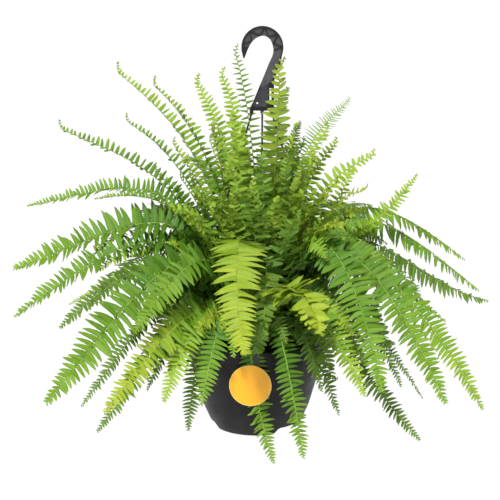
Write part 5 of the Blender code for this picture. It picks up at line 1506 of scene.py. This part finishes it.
def rib_corners():
    """Ends of the ribs, which zigzag between the flanges of the loop."""
    cx, cz = HOOK_ARC_CENTRE
    inner = [(x - cx, z - cz) for x, z in smooth_curve(HOOK_INNER, HOOK_POCKET_STEPS)]
    corners = []
    for k, azimuth in enumerate(HOOK_RIBS):
        a = math.radians(azimuth)
        reach = HOOK_ARC_RADIUS - HOOK_FLANGE / MM / 2
        if k % 2:
            x, z = min(inner, key=lambda p: abs(math.atan2(p[1], p[0]) - a))
            reach = math.hypot(x, z) + HOOK_FLANGE / MM / 2
        corners.append((cx + reach * math.cos(a), cz + reach * math.sin(a)))
    return corners


def add_ribs(mesh, web):
    """Low ribs that zigzag across the loop's channel on both faces."""
    corners = rib_corners()
    bm = bmesh.new()
    bm.from_mesh(mesh)
    for (x0, z0), (x1, z1) in zip(corners, corners[1:]):
        ahead = units(np.array([x1 - x0, z1 - z0]))
        dx, dz = -ahead[1] * HOOK_RIB_WIDTH / 2, ahead[0] * HOOK_RIB_WIDTH / 2
        outline = [(x0 + dx, z0 + dz), (x1 + dx, z1 + dz), (x1 - dx, z1 - dz), (x0 - dx, z0 - dz)]
        for side in (-1, 1):
            points, faces = plate(outline, side * (web - HOOK_RIB_ROOT), side * (web + HOOK_RIB_HEIGHT))
            made = [bm.verts.new(point) for point in points]
            ribs = [bm.faces.new([made[i] for i in face]) for face in faces]
            bmesh.ops.recalc_face_normals(bm, faces=ribs)
    bm.to_mesh(mesh)
    bm.free()


# Strands
def rod_rings(route):
    """Rings of points along a route, with no twist from one to the next."""
    rings = []
    side = None
    for i, here in enumerate(route):
        ahead = (route[min(i + 1, len(route) - 1)] - route[max(i - 1, 0)]).normalized()
        side = ahead.orthogonal() if side is None else side
        side = (side - side.project(ahead)).normalized()
        up = ahead.cross(side)
        rings.append([here + STRAND_RADIUS * (side * c + up * s) for c, s in circle(STRAND_SIDES)])
    return rings


def clip_bracket(azimuth):
    """The clip over the rim: two legs and a rounded top, extruded across the azimuth."""
    out, across = around(azimuth)
    half = CLIP_WIDTH / 2
    r_out = RIM_RADIUS + GAP
    r_in = math.sqrt(RIM_RADIUS ** 2 - half ** 2) - POT_WALL - CLIP_INNER_SLACK - GAP
    top = RIM_Z + GAP
    inner_end, outer_end = RIM_Z - CLIP_INNER_LEG, RIM_Z - CLIP_OUTER_LEG
    # Distance from the pot's axis and height
    section = [(r_in - CLIP_PLATE * CLIP_INNER_SHARE, inner_end), (r_in, inner_end), (r_in, top),
               (r_out, top), (r_out, outer_end), (r_out + CLIP_PLATE, outer_end)]
    for r, corner in zip((r_out, r_in), CLIP_CORNERS):
        section += [(r + CLIP_PLATE * x, top + CLIP_PLATE * z) for x, z in corner]
    return loft([[Vector((POT_X, 0, z)) + out * r + across * (side * half) for r, z in section]
                 for side in (-1, 1)])


def build_strands(materials):
    for (name, *route), material in zip(STRANDS, materials):
        line = [Vector(p) for p in smooth_curve(strand_route(*route), STRAND_STEPS)]
        shape = joined(loft(rod_rings(line)), clip_bracket(route[1]))
        rod = mesh_piece(name + "_rod", *shape, material, "hanger_plastic")
        sharpen(rod, STRAND_CREASE)
        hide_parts(name)


# Stage
def build_floor():
    shade = Shade("studio_floor")
    shade.finish(shade.ramp(shade.noise(0.6), (0.3, 0.90), (0.7, 0.93)), 0.9)
    mesh = bpy.data.meshes.new("studio_floor")
    points = [(FLOOR_RADIUS * c, FLOOR_RADIUS * s, FLOOR_Z) for c, s in circle(FLOOR_SIDES)]
    mesh.from_pydata(points, [], [tuple(range(FLOOR_SIDES))])
    mesh.materials.append(shade.mat)
    linked("studio_floor", mesh)


def build_sky():
    """White light, strong in a band over the horizon and weak above it."""
    world = bpy.data.worlds.new("studio")
    bpy.context.scene.world = world
    world.use_nodes = True
    nodes, links = world.node_tree.nodes, world.node_tree.links
    background = nodes["Background"]
    background.inputs["Color"].default_value = (1.0, 1.0, 1.0, 1.0)
    coords = nodes.new("ShaderNodeTexCoord")
    split = nodes.new("ShaderNodeSeparateXYZ")
    fade = nodes.new("ShaderNodeMapRange")
    fade.inputs["From Min"].default_value = WALL_TOP
    fade.inputs["From Max"].default_value = WALL_TOP + WALL_FADE
    fade.inputs["To Min"].default_value = 1.0
    fade.inputs["To Max"].default_value = WORLD_LIGHT
    links.new(coords.outputs["Generated"], split.inputs[0])
    links.new(split.outputs["Z"], fade.inputs["Value"])
    links.new(fade.outputs[0], background.inputs["Strength"])


def build_suns():
    for name, place, spread, strength in SUNS:
        light = bpy.data.lights.new(name, "SUN")
        light.energy = strength
        light.angle = math.radians(spread)
        linked(name, light).rotation_euler = (-Vector(place)).to_track_quat("-Z", "Y").to_euler()


def build_camera():
    data = bpy.data.cameras.new("photo_view")
    data.lens = CAMERA_LENS
    data.sensor_width = CAMERA_SENSOR
    data.clip_end = CAMERA_SEES
    camera = linked("photo_view", data)
    back = Vector((0.0, -math.cos(VIEW_TILT), math.sin(VIEW_TILT)))
    camera.location = Vector((VIEW_TARGET_X, 0.0, VIEW_TARGET_Z)) * MM + back * (VIEW_DISTANCE * MM)
    camera.rotation_euler = (-back).to_track_quat("-Z", "Y").to_euler()
    bpy.context.scene.camera = camera


def main():
    bpy.context.scene.view_settings.view_transform = "Standard"
    build_camera()
    build_floor()
    build_sky()
    build_suns()
    build_pot(pot_material())
    build_soil(soil_material())
    build_tag(tag_material())
    build_hook(hook_material())
    rod = rod_material("rod_plastic")
    # The front rod gets a painted highlight lower down
    build_strands([rod, rod_material("rod_plastic_front", ROD_PAINTED_HIGHLIGHT), rod])
    lines = [np.array([tuple(p) for p in strand_route(*strand[1:])]) for strand in STRANDS]
    lines.append(np.array([(x * MM, 0, z * MM) for x, z in HOOK_LINE]))
    build_ferns(lines)


main()
